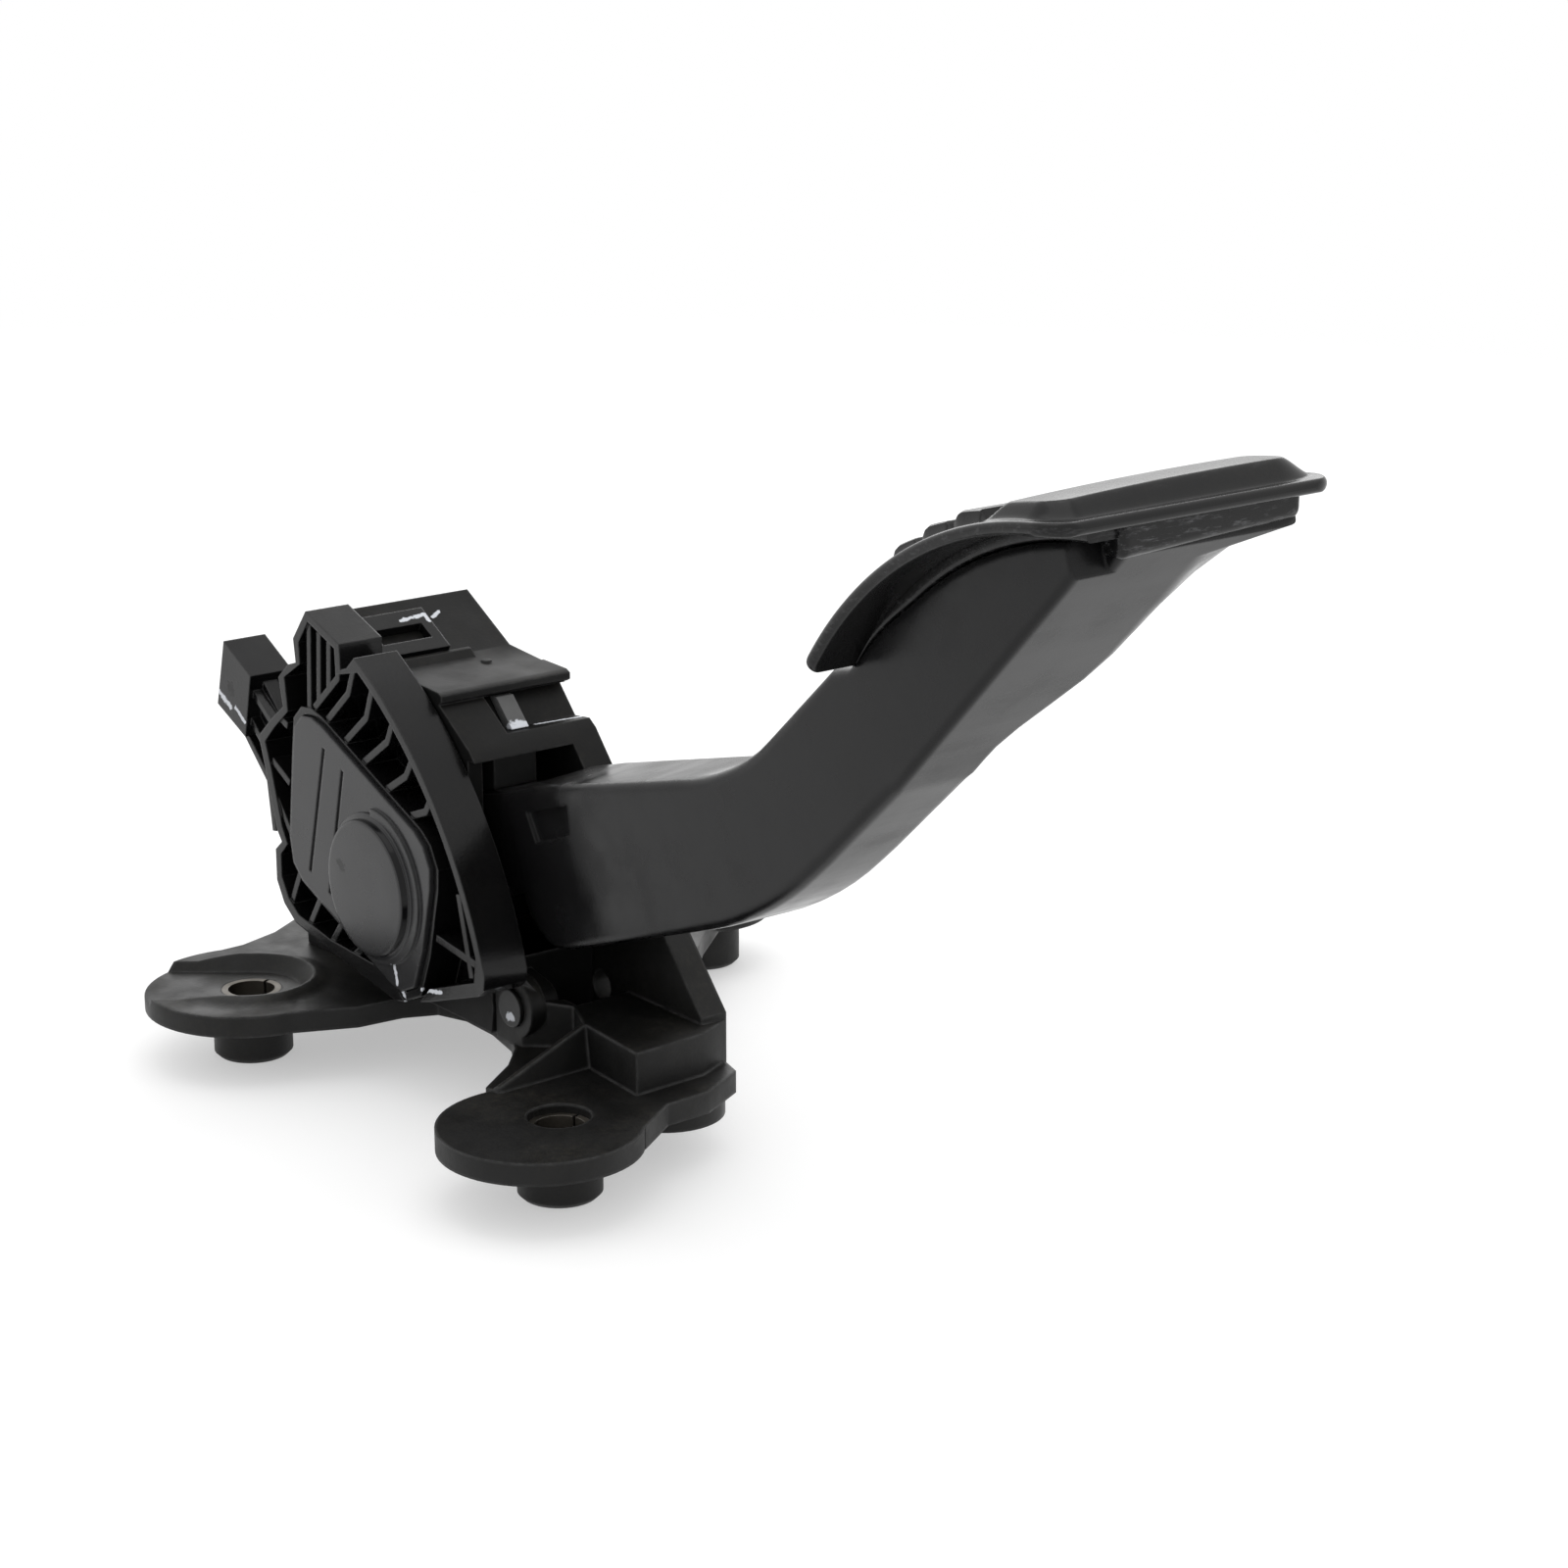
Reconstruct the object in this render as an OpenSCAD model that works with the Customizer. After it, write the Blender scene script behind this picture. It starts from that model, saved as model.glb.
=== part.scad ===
// Accelerator pedal module for a car, lying on its three mounting feet.
// X runs along the arm towards the pad, Y along the pivot axis, Z up from the mounting face.
// The origin is the centre of the front left mounting hole on that face.

/* [Mounting] */
// Distance along X from mounting hole 1 to hole 2
hole2_x = 91; // [86:1:98]
// Offset along Y of mounting hole 2
hole2_y = 6.5; // [3:0.5:9]
// Position along X of the rear mounting hole 3
hole3_x = 10; // [4:1:16]
// Distance along Y from mounting hole 1 to hole 3
hole3_y = 97; // [90:1:106]
// Bore of the steel sleeves in the three feet
bolt_bore = 8.6; // [6.6:0.2:9.2]
// Wall thickness of a steel sleeve
sleeve_wall = 1.2; // [0.8:0.1:1.5]
// Outer diameter of a foot
foot_d = 14.6; // [13.6:0.2:17]
// Height of the underside of the plate above the mounting face
foot_h = 10; // [8:0.5:12]
// Thickness of the bracket plate
plate_t = 4; // [3:0.5:5]

/* [Bracket] */
// Radius of the ear round hole 1
ear1_r = 19.5; // [18:0.5:22]
// Radius of the ear round hole 2
ear2_r = 17.6; // [17:0.1:19]
// Radius of the ear round hole 3
ear3_r = 13; // [11.5:0.5:15]
// Height of the raised box beside ear 2 above the plate
box_h = 7.6; // [6:0.2:9]
// Wall thickness of ribs and gussets of the bracket
rib_t = 2.6; // [2:0.2:3.4]

/* [Housing] */
// Height of the pivot axis above the mounting face
pivot_z = 37; // [35:0.5:39]
// Position of the pivot axis along X
pivot_x = 26; // [24:0.5:28]
// Width of the housing along Y
housing_w = 27; // [25.5:0.5:29]
// Thickness of the near cheek
cheek_t = 3; // [2.5:0.25:3.5]
// Thickness of the far cheek with its bearing boss
far_cheek_t = 6; // [5:0.5:7]
// Height of the catch on the roof that holds the strap
catch_h = 1.2; // [0.8:0.1:1.6]

/* [Sensor] */
// Distance of the front rim of the sensor cover from the hole 1 axis
cover_y = 10; // [9:0.5:12]
// Depth of the sensor cover along Y
cover_d = 9; // [8.5:0.5:11]
// Wall thickness of the ribs of the cover
cover_rib = 1.3; // [1:0.1:1.8]
// Radius of the curved outer band of the cover
band_r = 84.7; // [83:0.1:86]
// Radius of the round boss on the lid
boss_r = 12.4; // [10:0.2:13]
// Thickness of the lid
lid_t = 1.6; // [1.2:0.2:2]

/* [Shaft] */
// Diameter of the pivot shaft
shaft_d = 10; // [8:0.5:11]
// Wall thickness of the bushes
bush_t = 1; // [0.8:0.1:1.4]
// Radial clearance between shaft and bush
run_fit = 0.05; // [0.03:0.01:0.08]

/* [Arm] */
// Rise angle of the lower part of the arm in degrees
arm_a1 = 17.2; // [15:0.2:19]
// Rise angle of the upper part of the arm in degrees
arm_a2 = 42.7; // [41.5:0.1:44]
// Distance from the pivot to the bend of the arm
bend_s = 100.4; // [98:0.2:103]
// Width of the arm along Y
arm_w = 16.2; // [13:0.2:17]
// Depth of the arm at its root
arm_d1 = 29.4; // [27:0.2:31]
// Depth of the arm above its bend
arm_d2 = 22.6; // [20:0.2:24]
// Radius of the long edges of the arm
arm_r = 2.2; // [1.5:0.1:3.4]
// Free height between the spring cup and its seat in the housing
spring_l = 21.8; // [18:0.2:23]

/* [Pad] */
// Radius of the underside of the pad
pad_r = 66.4; // [65:0.2:68]
// Width of the pad along Y
pad_w = 56.4; // [50:0.4:60]
// Thickness of the thin rim of the pad
pad_rim = 2.2; // [1.6:0.2:3]
// Height of the raised crown above the rim
crown_h = 2.2; // [1.6:0.2:4]
// Height of a grip ridge above the rim
ridge_h = 1.8; // [1:0.2:2.6]
// Number of grip ridges
ridge_n = 3; // [2:1:3]

/* [Hidden] */
$fn = 64;

// Small gaps between pieces that touch or nearly touch
seat_gap = 0.1;
loose_gap = 0.3;
hole1 = [0, 0];
hole2 = [hole2_x, hole2_y];
hole3 = [hole3_x, hole3_y];
holes = [hole1, hole2, hole3];
plate_z = foot_h + plate_t;
sleeve_od = bolt_bore + 2 * sleeve_wall;
foot_chamfer = 0.8;

// Levels along the pivot axis, from the lid to the far side of the housing
cover_back = cover_y + cover_d;
housing_y = cover_back + 0.5;
housing_far = housing_y + housing_w;
cheek_in = housing_y + cheek_t;
far_in = housing_far - far_cheek_t;
arm_y = cheek_in;
pivot = [pivot_x, pivot_z];
box_z = plate_z + box_h;

// Small vector helpers for outlines in the XZ plane
function dir(a) = [cos(a), sin(a)];
function arc(c, r, a0, a1, n) = [for (i = [0:n]) c + r * dir(a0 + (a1 - a0) * i / n)];
function mix(a, b, t) = a + (b - a) * t;
function clamp(t) = min(1, max(0, t));
function ease(t) = clamp(t) * clamp(t) * (3 - 2 * clamp(t));

// Stands an XZ outline up and gives it a thickness along Y from y0 to y1
module slab(y0, y1) {
    translate([0, y1, 0]) rotate([90, 0, 0]) linear_extrude(height = y1 - y0) children();
}

// Round bar along Y
module bar(c, r, y0, y1) {
    translate([c[0], y1, c[1]]) rotate([90, 0, 0]) cylinder(r = r, h = y1 - y0);
}

// Straight rib in the XZ plane between two points
module rib_2d(a, b, t) {
    n = [a[1] - b[1], b[0] - a[0]] / norm(b - a) * t / 2;
    polygon([a + n, b + n, b - n, a - n]);
}

// Bracket

// Outline of the bracket body between the three ears, with the bay between ears 1 and 2
body_outline = [
    [-18.4, 3], [-18.6, 9], [-21.4, 17.6], [-26, 25], [-27, 33], [-22, 56], [-2.8, 99],
    [22, 92], [31, 81.5], [47, 66.5], [71, 53], [84, 45], [92.6, 42.6], [97.6, 33], [98, 24], [104, 15], [92, 8],
    [72.6, 4], [66, 13], [60, 18.5], [52, 23], [43, 25], [34, 25.2], [28, 23], [25.4, 17], [24.6, 8], [19.8, -3]
];
box_plan = [[73.9, 23.6], [91.6, 22.2], [90.8, 36.8], [87.2, 44.6], [65.2, 44.6], [65.7, 27.2]];
ear1_shift = [0.5, -0.4];
ear2_shift = 4.5;
boss_at = [86.1, 32.4];
boss_d = 20.4;
boss_z = 7;
ring_r = 12.2;
ring_h = 1.2;
ring_slope = 3.4;
trough_r = 9;
trough_depth = 1.6;
trough_slope = 2.6;
trough_a = 52;

module foot(at) {
    translate([at[0], at[1], 0]) {
        cylinder(r1 = foot_d / 2 - foot_chamfer, r2 = foot_d / 2, h = foot_chamfer);
        translate([0, 0, foot_chamfer]) cylinder(r = foot_d / 2, h = foot_h - foot_chamfer + 0.5);
    }
}

module base_bracket() color([0.13, 0.13, 0.13]) difference() {
    union() {
        for (at = holes) foot(at);
        translate([0, 0, foot_h]) {
            linear_extrude(height = plate_t) polygon(body_outline);
            translate(ear1_shift) cylinder(r = ear1_r, h = plate_t);
            translate([hole2[0] + 1, hole2[1] - ear2_shift, 0]) cylinder(r = ear2_r, h = plate_t);
            translate([hole3[0], hole3[1], 0]) cylinder(r = ear3_r, h = plate_t);
        }
        // locating boss below the box
        translate([boss_at[0], boss_at[1], boss_z]) cylinder(r = boss_d / 2, h = foot_h - boss_z + 1);
        // raised box beside ear 2, with the wall that falls away to the ear
        translate([0, 0, plate_z - 0.5]) linear_extrude(height = box_h + 0.5) polygon(box_plan);
        wall_to_ear();
        far_gusset();
        lug();
        // raised ring round the trough of hole 1
        translate([0, 0, plate_z]) cylinder(r1 = ring_r + ring_slope, r2 = ring_r, h = ring_h);
    }
    for (at = holes) translate([at[0], at[1], -1]) cylinder(r = sleeve_od / 2, h = plate_z + 20);
    // trough round hole 1, open to the far left
    translate([0, 0, plate_z - trough_depth]) {
        cylinder(r1 = trough_r, r2 = trough_r + trough_slope, h = trough_depth + ring_h);
        translate([0, 0, trough_depth + ring_h]) cylinder(r = trough_r + trough_slope, h = 5);
        rotate([0, 0, trough_a + 180]) rotate([90, 0, 90]) linear_extrude(height = 26) polygon([
            [-trough_r, 0], [trough_r, 0], [trough_r + trough_slope, trough_depth + ring_h],
            [-trough_r - trough_slope, trough_depth + ring_h]]);
    }
    bar(pin_at, pin_r + seat_gap, housing_y - 1, housing_far);
    bar(pin_at, pin_head_r + seat_gap, housing_y - 1, lug_y0 + pin_head - 0.6);
}

// Ridge from the corner of the box down to the ear plate, steep on one side and sloping on the other
ridge_end = [75.6, 3];
module wall_to_ear() {
    top = box_plan[0] - [0, 0.2];
    run = norm(ridge_end - top);
    intersection() {
        translate([top[0], top[1], box_z]) rotate([0, 0, atan2(ridge_end[1] - top[1], ridge_end[0] - top[0])])
            rotate([0, atan2(box_h - 0.4, run), 0]) rotate([90, 0, 90]) linear_extrude(height = run)
                polygon([[-8.4, -box_h - 4], [-0.7, -0.3], [0, 0], [0.8, 0], [rib_t, -box_h - 4]]);
        translate([60, -10, plate_z - 0.5]) cube([30, 40, box_h + 0.5]);
    }
}

// Sloping wall in front of the housing that ties its far side to the box
gusset_y = 39.2;
gusset_t = 5.4;
gusset_top = [60, 53.6];
module far_gusset() {
    slab(gusset_y, gusset_y + gusset_t) polygon([
        [87.2, plate_z - 0.5], [87.2, box_z + 1.2], gusset_top, [housing_front, 55], [housing_front, plate_z - 0.5]
    ]);
}

// Lug in front of the housing that takes the pin, with a wall that falls away to the box
pin_at = [57.4, 20.6];
pin_r = 2.6;
pin_head_r = 3.4;
pin_head = 2.2;
lug_y0 = 20;
lug_y1 = 23.4;
lug_r = 5.6;
lug_top = 27.8;
module lug() {
    bar(pin_at, lug_r, lug_y0, lug_y1);
    intersection() {
        translate([0, 0, plate_z - 0.5]) linear_extrude(height = 20)
            polygon([
                [52, lug_y0], [59.8, lug_y0], [65.8, 27.2], [65.8, 28], [61.6, 28], [61.6, lug_y1], [52, lug_y1]]);
        translate([50, 0, 0]) rotate([90, 0, 90]) linear_extrude(height = 20) polygon([
            [lug_y0, plate_z - 1], [lug_y0, lug_top], [lug_y1, box_z + 0.7], [27.2, box_z], [28, box_z], [28, plate_z - 1]]);
    }
}

// Split steel sleeve pressed into a foot
slit_w = 0.6;
module bolt_sleeve(at, slit) {
    translate([at[0], at[1], 0]) difference() {
        cylinder(r = sleeve_od / 2, h = plate_z - trough_depth);
        translate([0, 0, -1]) cylinder(r = bolt_bore / 2, h = plate_z + 2);
        rotate([0, 0, slit]) translate([0, -slit_w / 2, -1]) cube([sleeve_od, slit_w, plate_z + 2]);
    }
}
module bolt_sleeve_1() color([0.66, 0.65, 0.6]) bolt_sleeve(hole1, 115);
module bolt_sleeve_2() color([0.66, 0.65, 0.6]) bolt_sleeve(hole2, 110);
module bolt_sleeve_3() color([0.66, 0.65, 0.6]) bolt_sleeve(hole3, 60);

// Housing

// Outline of the housing seen along the pivot axis
roof_back = [5, 82.6];
roof_mid = [18.9, 74.8];
housing_front = 54.4;
housing_outline = [
    roof_back, roof_mid, [29, 74], [36.4, 73.7], [37.5, 73.2], [37.5, 72], [36.6, 71.5], [46.2, 65],
    [51.2, 59.2], [52.4, 52], [53.5, 44], [54, 36], [53, 27], [51, plate_z + seat_gap],
    [-12, plate_z + seat_gap], [-13, 40], [-9, 62], [-2, 76]
];
// The same outline drawn in by the wall, open to the front below the sill
sill_z = 63.2;
housing_inside = [
    roof_back + [1.6, -4.4], [17.4, 71.8], [24.4, 71], [32.6, 68.4], [37.2, 63.6], [43.4, sill_z],
    [60, sill_z], [60, 34], [54, 29], [47, 20.5], [45, plate_z + 3.4],
    [-9, plate_z + 3.4], [-10, 40], [-6.2, 61], [0.8, 74]
];
roof_a = atan2(roof_back[1] - roof_mid[1], roof_mid[0] - roof_back[0]);
recess_y = housing_y + 9.4;
recess = [[34.6, 71.4], [39.8, 65.8]];
ear_y0 = lug_y1 + loose_gap;
ear_y1 = ear_y0 + 3.6;
ear_r = 3.6;

module pedal_housing() color([0.12, 0.12, 0.12]) difference() {
    union() {
        difference() {
            union() {
                slab(housing_y, housing_far) polygon(housing_outline);
                // lip along the ridge
                slab(housing_far - 1, housing_far + 0.6)
                    polygon([[29, 73.9], [36.4, 73.7], [37.5, 73.2], [37.5, 72], [36.6, 71.5], [32, 71.2]]);
                // low ring with a point on the roof
                translate([25.2, 37.2, 72]) cylinder(r = 1, h = 2.6);
                // catch for the strap of the cover
                slab(housing_y + 3.2, housing_y + 17.5) polygon([
                    [19.6, 74], [19.6, 74.8 + catch_h], [20.6, 74.7 + catch_h], [22.6, 74.2]]);
                // bearing boss on the far cheek
                bar(pivot, 11, housing_far - 1, housing_far + loose_gap);
            }
            slab(cheek_in, far_in) polygon(housing_inside);
        }
        // seat of the springs below the roof
        intersection() {
            translate([spring_at[0], spring_at[1], spring_z1 + seat_gap]) cylinder(r = seat_boss_r, h = 20);
            slab(housing_y, housing_far) polygon(housing_outline);
        }
        // ear beside the lug of the bracket
        bar(pin_at, ear_r, ear_y0, ear_y1);
        slab(ear_y0, ear_y1) polygon([[49, plate_z + 1], [49, 26], pin_at + ear_r * dir(80), pin_at + ear_r * dir(-80)]);
        // pedestal of the friction shoe
        slab(shoe_y0, shoe_y1) polygon(concat(
            [[14, plate_z + 3]], arc(pivot, shoe_r + seat_gap, shoe_a0, shoe_a1, 12), [[30, plate_z + 3]]));
    }
    // shaft bores with their bushes
    bar(pivot, shaft_d / 2 + run_fit + bush_t, housing_y - 1, far_in + far_cheek_t - 2);
    // recess with the latch tongue, open to the far side
    slab(recess_y, housing_far + 1) polygon([recess[0], [52, 71.4], [52, 66.8], [44.4, 66.3], recess[1]]);
    // the near cheek ends behind the arm
    slab(housing_y - 1, cheek_in + 0.2) polygon([[45.6, sill_z], [60, sill_z], [60, 28], [45.6, 28]]);
    bar(pin_at, pin_r + seat_gap, housing_y - 1, ear_y1 - 0.6);
    // room for the lug of the bracket
    bar(pin_at, lug_r + loose_gap, housing_y - 1, ear_y0);
    slab(housing_y - 1, ear_y0) polygon([[51.7, plate_z - 1], [51.7, 28.2], [67, 28.2], [67, plate_z - 1]]);
}

module housing_pin() color([0.08, 0.08, 0.08]) {
    bar(pin_at, pin_r, lug_y0, ear_y1 - 0.8);
    bar(pin_at, pin_head_r, lug_y0 - 0.8, lug_y0 - 0.8 + pin_head);
}

module latch_tongue() color([0.5, 0.5, 0.5]) slab(31, 34.6) polygon([
    recess[0] + [0.5, -0.2], recess[0] + [3, -0.2], [42.5, 66.3], recess[1] + [0.3, 0.1]
]);

// Sensor cover

// The curved band is an arc through its head and its foot
band_head = [24, 79];
band_foot = [63.7, 30.05];
band_half = norm(band_head - band_foot) / 2;
band_c = (band_head + band_foot) / 2
    - sqrt(band_r * band_r - band_half * band_half) * [band_head[1] - band_foot[1], band_foot[0] - band_head[0]]
    / (2 * band_half);
band_top = atan2(band_head[1] - band_c[1], band_head[0] - band_c[0]);
band_end = atan2(band_foot[1] - band_c[1], band_foot[0] - band_c[0]);
cover_tip = [38, 18.3];
kite = [[8.5, 66.4], [5, 66], [2.2, 63.4], [1.2, 57], [-1, 40], [0, 35], [3, 32.2], [34.6, 19.6], [38.6, 18.8],
    [43, 20.8], [46.4, 29], [49.6, 42], [49.8, 46], [47.6, 50], [44.6, 52.2], [12, 65.6]];
cover_outline = concat(
    [[3.6, 74], [3, 78.4], [7.8, 84.4], [19, 80.5], [19.2, 75.8], [21.4, 76.6]],
    arc(band_c, band_r, band_top, band_end, 24),
    [[63.4, 27.6], [61.6, 26], [46, 20.6], cover_tip, [34.4, 17.6], [12, 21], [0, 23.2], [-4, 26], [-6.4, 30],
        [-6.4, 36], [-4, 38], [-5.6, 40], [-8.6, 50], [-11, 57], [-6, 61.4], [-1.6, 64.6], [-2.8, 70], [0.6, 73]]
);

module sensor_cover() color([0.1, 0.1, 0.1]) difference() {
    union() {
        // floor against the housing
        slab(cover_back - 2, cover_back) polygon(cover_outline);
        // outer band
        slab(cover_y, cover_back) difference() {
            polygon(cover_outline);
            polygon(concat(
                [[24.6, 76.4]], arc(band_c, band_r - 1.6, band_top - 1.4, band_end + 2.4, 24),
                [[60.4, 28.2], [46, 23], [40, 17], [30, 22.4], [12, 23.2], [1, 25], [-2.4, 27.4], [-4.6, 31], [-4.6, 35.4],
                [-2, 38], [-3.8, 41], [-6.8, 51], [-8.8, 56.4], [-5, 60], [0, 64], [-0.8, 70.4], [5, 74], [4.8, 78],
                [8.4, 82.6], [17.4, 79.4], [17.6, 74.6]]
            ));
        }
        // wall of the electronics pocket
        slab(cover_y, cover_back) polygon(kite);
        cover_ribs();
        snap_strap();
        connector_shroud();
    }
    slab(cover_y - 1, cover_back - 2) kite_inside(1.8);
    slab(cover_y - 1, cover_y + 0.9) kite_inside(0.9);
    bar(pivot, 8.4, cover_back - 3, cover_back + 1);
    connector_hollow();
}

// Electronics pocket outline drawn in by t towards its middle
module kite_inside(t) {
    m = [25, 44];
    k = 1 - t / 17;
    translate(m) scale([k, k]) translate(-m) polygon(kite);
}

// Bent ribs between the pocket and the band, each from its foot over a knee to its head
bent_ribs = [
    [[9, 66.6], [17.4, 73.8], [18.4, 80]],
    [[13.4, 65.2], [20.9, 71.7], [23.3, 77.4]],
    [[19.4, 62.6], [26.8, 68.5], [29.2, 74.6]],
    [[25.3, 59.9], [33.6, 65.6], [36, 70.4]],
    [[33.1, 56.8], [39.4, 60.6], [42, 64.6]],
    [[40.9, 53.8], [45.6, 55.6], [47.6, 58.8]]
];
// Straight ribs in the rest of the cover
straight_ribs = [
    [[7.2, 66], [8, 82]], [[10.6, 68], [11.4, 81]], [[14.2, 71], [14.8, 80]],
    [[2, 34], [-3, 24.6]], [[9, 30.6], [4.6, 24.2]], [[16, 27.2], [12.2, 22.6]], [[23, 24.4], [19.8, 22]],
    [[48, 33], [61, 31.4]], [[55.4, 43], [59, 28.6]], [[-1, 61], [-4, 62]], [[-1, 50], [-7, 53]], [[-1, 40], [-6, 46]]
];
module cover_ribs() {
    slab(cover_y + 0.4, cover_back) {
        for (rib = bent_ribs, k = [0, 1]) rib_2d(rib[k], rib[k + 1], cover_rib);
        for (rib = bent_ribs) translate(rib[1]) circle(r = cover_rib / 2, $fn = 12);
        for (rib = straight_ribs) rib_2d(rib[0], rib[1], cover_rib);
    }
}

// Looped strap that snaps over the roof of the housing
strap_x = 9;
strap_l = 10.9;
strap_t = 1.9;
strap_y1 = 33.2;
module snap_strap() {
    translate([strap_x, 0, roof_back[1] - (strap_x - roof_back[0]) * tan(roof_a)]) rotate([0, roof_a, 0])
        difference() {
            translate([0, cover_back - 3, seat_gap]) cube([strap_l, strap_y1 - cover_back + 3, strap_t]);
            translate([3.9, cover_back + 1.6, -1]) cube([4, strap_y1 - cover_back - 3.8, 6]);
        }
}

// Connector shroud at the end of its duct, its face a slanted four-sided outline
shroud_face = [[-28.2, 71.2], [-18.6, 66.3], [-21.4, 53.9], [-31.5, 58.3]];
shroud_a = -25.5;
shroud_y = 13;
shroud_w = 9;
shroud_wall = 1.2;
shroud_floor = 2.6;
module connector_shroud() {
    slab(shroud_y, shroud_y + shroud_w) polygon(shroud_face);
    slab(cover_back - 3, cover_back) polygon([
        [-20, 65.6], [-11, 57.6], [0, 64], [0, 36], [-8, 36], [-14, 37], [-15.6, 46.8], [-23.4, 54.4]]);
    slab(shroud_y + 1, cover_back) {
        rib_2d([-21, 63.6], [-9.6, 55.8], cover_rib);
        rib_2d([-22, 58], [-8.4, 46.6], cover_rib);
        rib_2d([-22.8, 53.8], [-15.4, 47], cover_rib);
        rib_2d([-15.2, 47.4], [-13.6, 37], cover_rib);
    }
}
module connector_hollow() {
    out = 1.4 * dir(shroud_a);
    back = shroud_floor * dir(shroud_a);
    down = shroud_wall * dir(shroud_a - 90);
    slab(shroud_y + shroud_wall, shroud_y + shroud_w - shroud_wall) polygon([
        shroud_face[0] + down - out, shroud_face[1] + down - back,
        shroud_face[2] - down - back, shroud_face[3] - down - out]);
}

// Terminals on their carrier at the bottom of the shroud
terminal_t = 0.64;
carrier_t = 1;
terminal_l = 3.6;
module connector_terminals() color([0.8, 0.7, 0.4]) {
    along = dir(shroud_a);
    down = dir(shroud_a - 90);
    a = shroud_face[1] + (shroud_wall + seat_gap) * down - (shroud_floor + 0.2) * along;
    b = shroud_face[2] - (shroud_wall + seat_gap) * down - (shroud_floor + 0.2) * along;
    slab(shroud_y + shroud_wall + seat_gap, shroud_y + shroud_w - shroud_wall - seat_gap)
        polygon([a, b, b - carrier_t * along, a - carrier_t * along]);
    for (row = [0, 1], k = [0:2]) {
        at = mix(a, b, 0.25 + 0.25 * k) - 0.5 * carrier_t * along;
        y = shroud_y + shroud_w * (0.36 + 0.28 * row) - terminal_t / 2;
        slab(y, y + terminal_t) rib_2d(at, at - terminal_l * along, terminal_t);
    }
}

module sensor_lid() color([0.14, 0.14, 0.145]) difference() {
    union() {
        slab(cover_y - lid_t + 0.8, cover_y + 0.8) kite_inside(1.05);
        bar(pivot + [3.5, 1], boss_r, cover_y - lid_t - 0.2, cover_y);
        difference() {
            bar(pivot + [4.6, 1.4], boss_r + 2, cover_y - lid_t + 0.2, cover_y);
            slab(0, 20) polygon([[0, 0], [0, 100], [30, 100], [30, 0]]);
        }
    }
    // two long grooves
    slab(cover_y - 3, cover_y - lid_t + 1.4) {
        rib_2d([13.8, 60.2], [7.4, 35.3], 0.9);
        rib_2d([20, 57.4], [14.1, 32.7], 0.9);
    }
}

module lid_seal() color([0.2, 0.2, 0.2]) slab(cover_y + 0.9, cover_y + 1.7) difference() {
    kite_inside(1.9);
    kite_inside(2.8);
}

module circuit_board() color([0.1, 0.35, 0.2]) difference() {
    slab(cover_y + 2.4, cover_y + 3.6) kite_inside(3.2);
    bar(pivot, 4.2, cover_y + 1, cover_y + 5);
}

// Rotor on the end of the shaft, with its magnet
module sensor_rotor() color([0.7, 0.7, 0.66]) difference() {
    bar(pivot, 7.4, cover_y + 4.2, cover_back - 0.2);
    bar(pivot, 4.6, cover_y + 3, cover_y + 5.8);
    bar(pivot, shaft_d / 2 - 1, cover_back - 2.6, cover_back + 1);
}
module sensor_magnet() color([0.3, 0.3, 0.32]) bar(pivot, 4.6, cover_y + 4.4, cover_y + 5.8);

// Arm

// The centreline rises at one angle, bends, and rises on at another
bend_at = pivot + bend_s * dir(arm_a1) + 1.5 * dir(arm_a1 - 90);
bend_len = 15.8;
pad_c = [204, 65];
pad_a0 = 144.8;
function centre_at(s) =
    s < 0 ? bend_at + s * dir(arm_a1) : bend_at + s * dir(arm_a2);
// Along the bend a quadratic curve replaces the corner
function mid_at(s) =
    abs(s) >= bend_len ? centre_at(s) :
    let (t = (s + bend_len) / (2 * bend_len))
    (1 - t) * (1 - t) * centre_at(-bend_len) + 2 * t * (1 - t) * bend_at + t * t * centre_at(bend_len);
function slope_at(s) = mix(arm_a1, arm_a2, clamp((s + bend_len) / (2 * bend_len)));
function depth_at(s) = mix(arm_d1, arm_d2, clamp((s + 64) / 76));
// The lower corner at the root is rounded
root_s = -71.5;
root_r = 10;
function lift_at(s) = let (d = clamp(1 - (s - root_s) / root_r)) root_r * (1 - sqrt(1 - d * d));
function top_at(s) = mid_at(s) + depth_at(s) / 2 * dir(slope_at(s) + 90);
function low_at(s) = mid_at(s) - (depth_at(s) / 2 - lift_at(s)) * dir(slope_at(s) + 90);
// Under the pad the top follows the seat of the pad and the bottom runs straight on
heel_s = 38;
heel_a = 148.2;
toe_a = 94;
arm_tip = [200, 126.4];
function seat_r(a) = pad_r - 0.5 + 0.35 * max(0, a - pad_a0) - 1.7 * ease((pad_a0 - a) / 16);
function seat_at(t) = let (a = mix(heel_a, toe_a, t)) pad_c + seat_r(a) * dir(a);
function sole_at(t) = mix(low_at(heel_s + 2), arm_tip, t);
near_step = 6.7;
toe_t = 0.93;
root_in = 1.8;
arm_far = arm_y + arm_w;
wing_w = pad_w - 31.3;
sole_w = 8.7;
function near_y(s) = arm_y + root_in * (1 - clamp((s - root_s) / 20));
function wing_y(t) = arm_far + wing_w * ease(t);
function sole_y(t) = arm_far + sole_w * ease((t - 0.08) / 0.42);
// Along the lower part the top leans towards the near side
top_tilt = 1.8;
function tilt_at(s) = top_tilt * ease((s - root_s) / 14) * (1 - ease((s + 16) / 32)) * dir(arm_a1 + 90);
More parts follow.
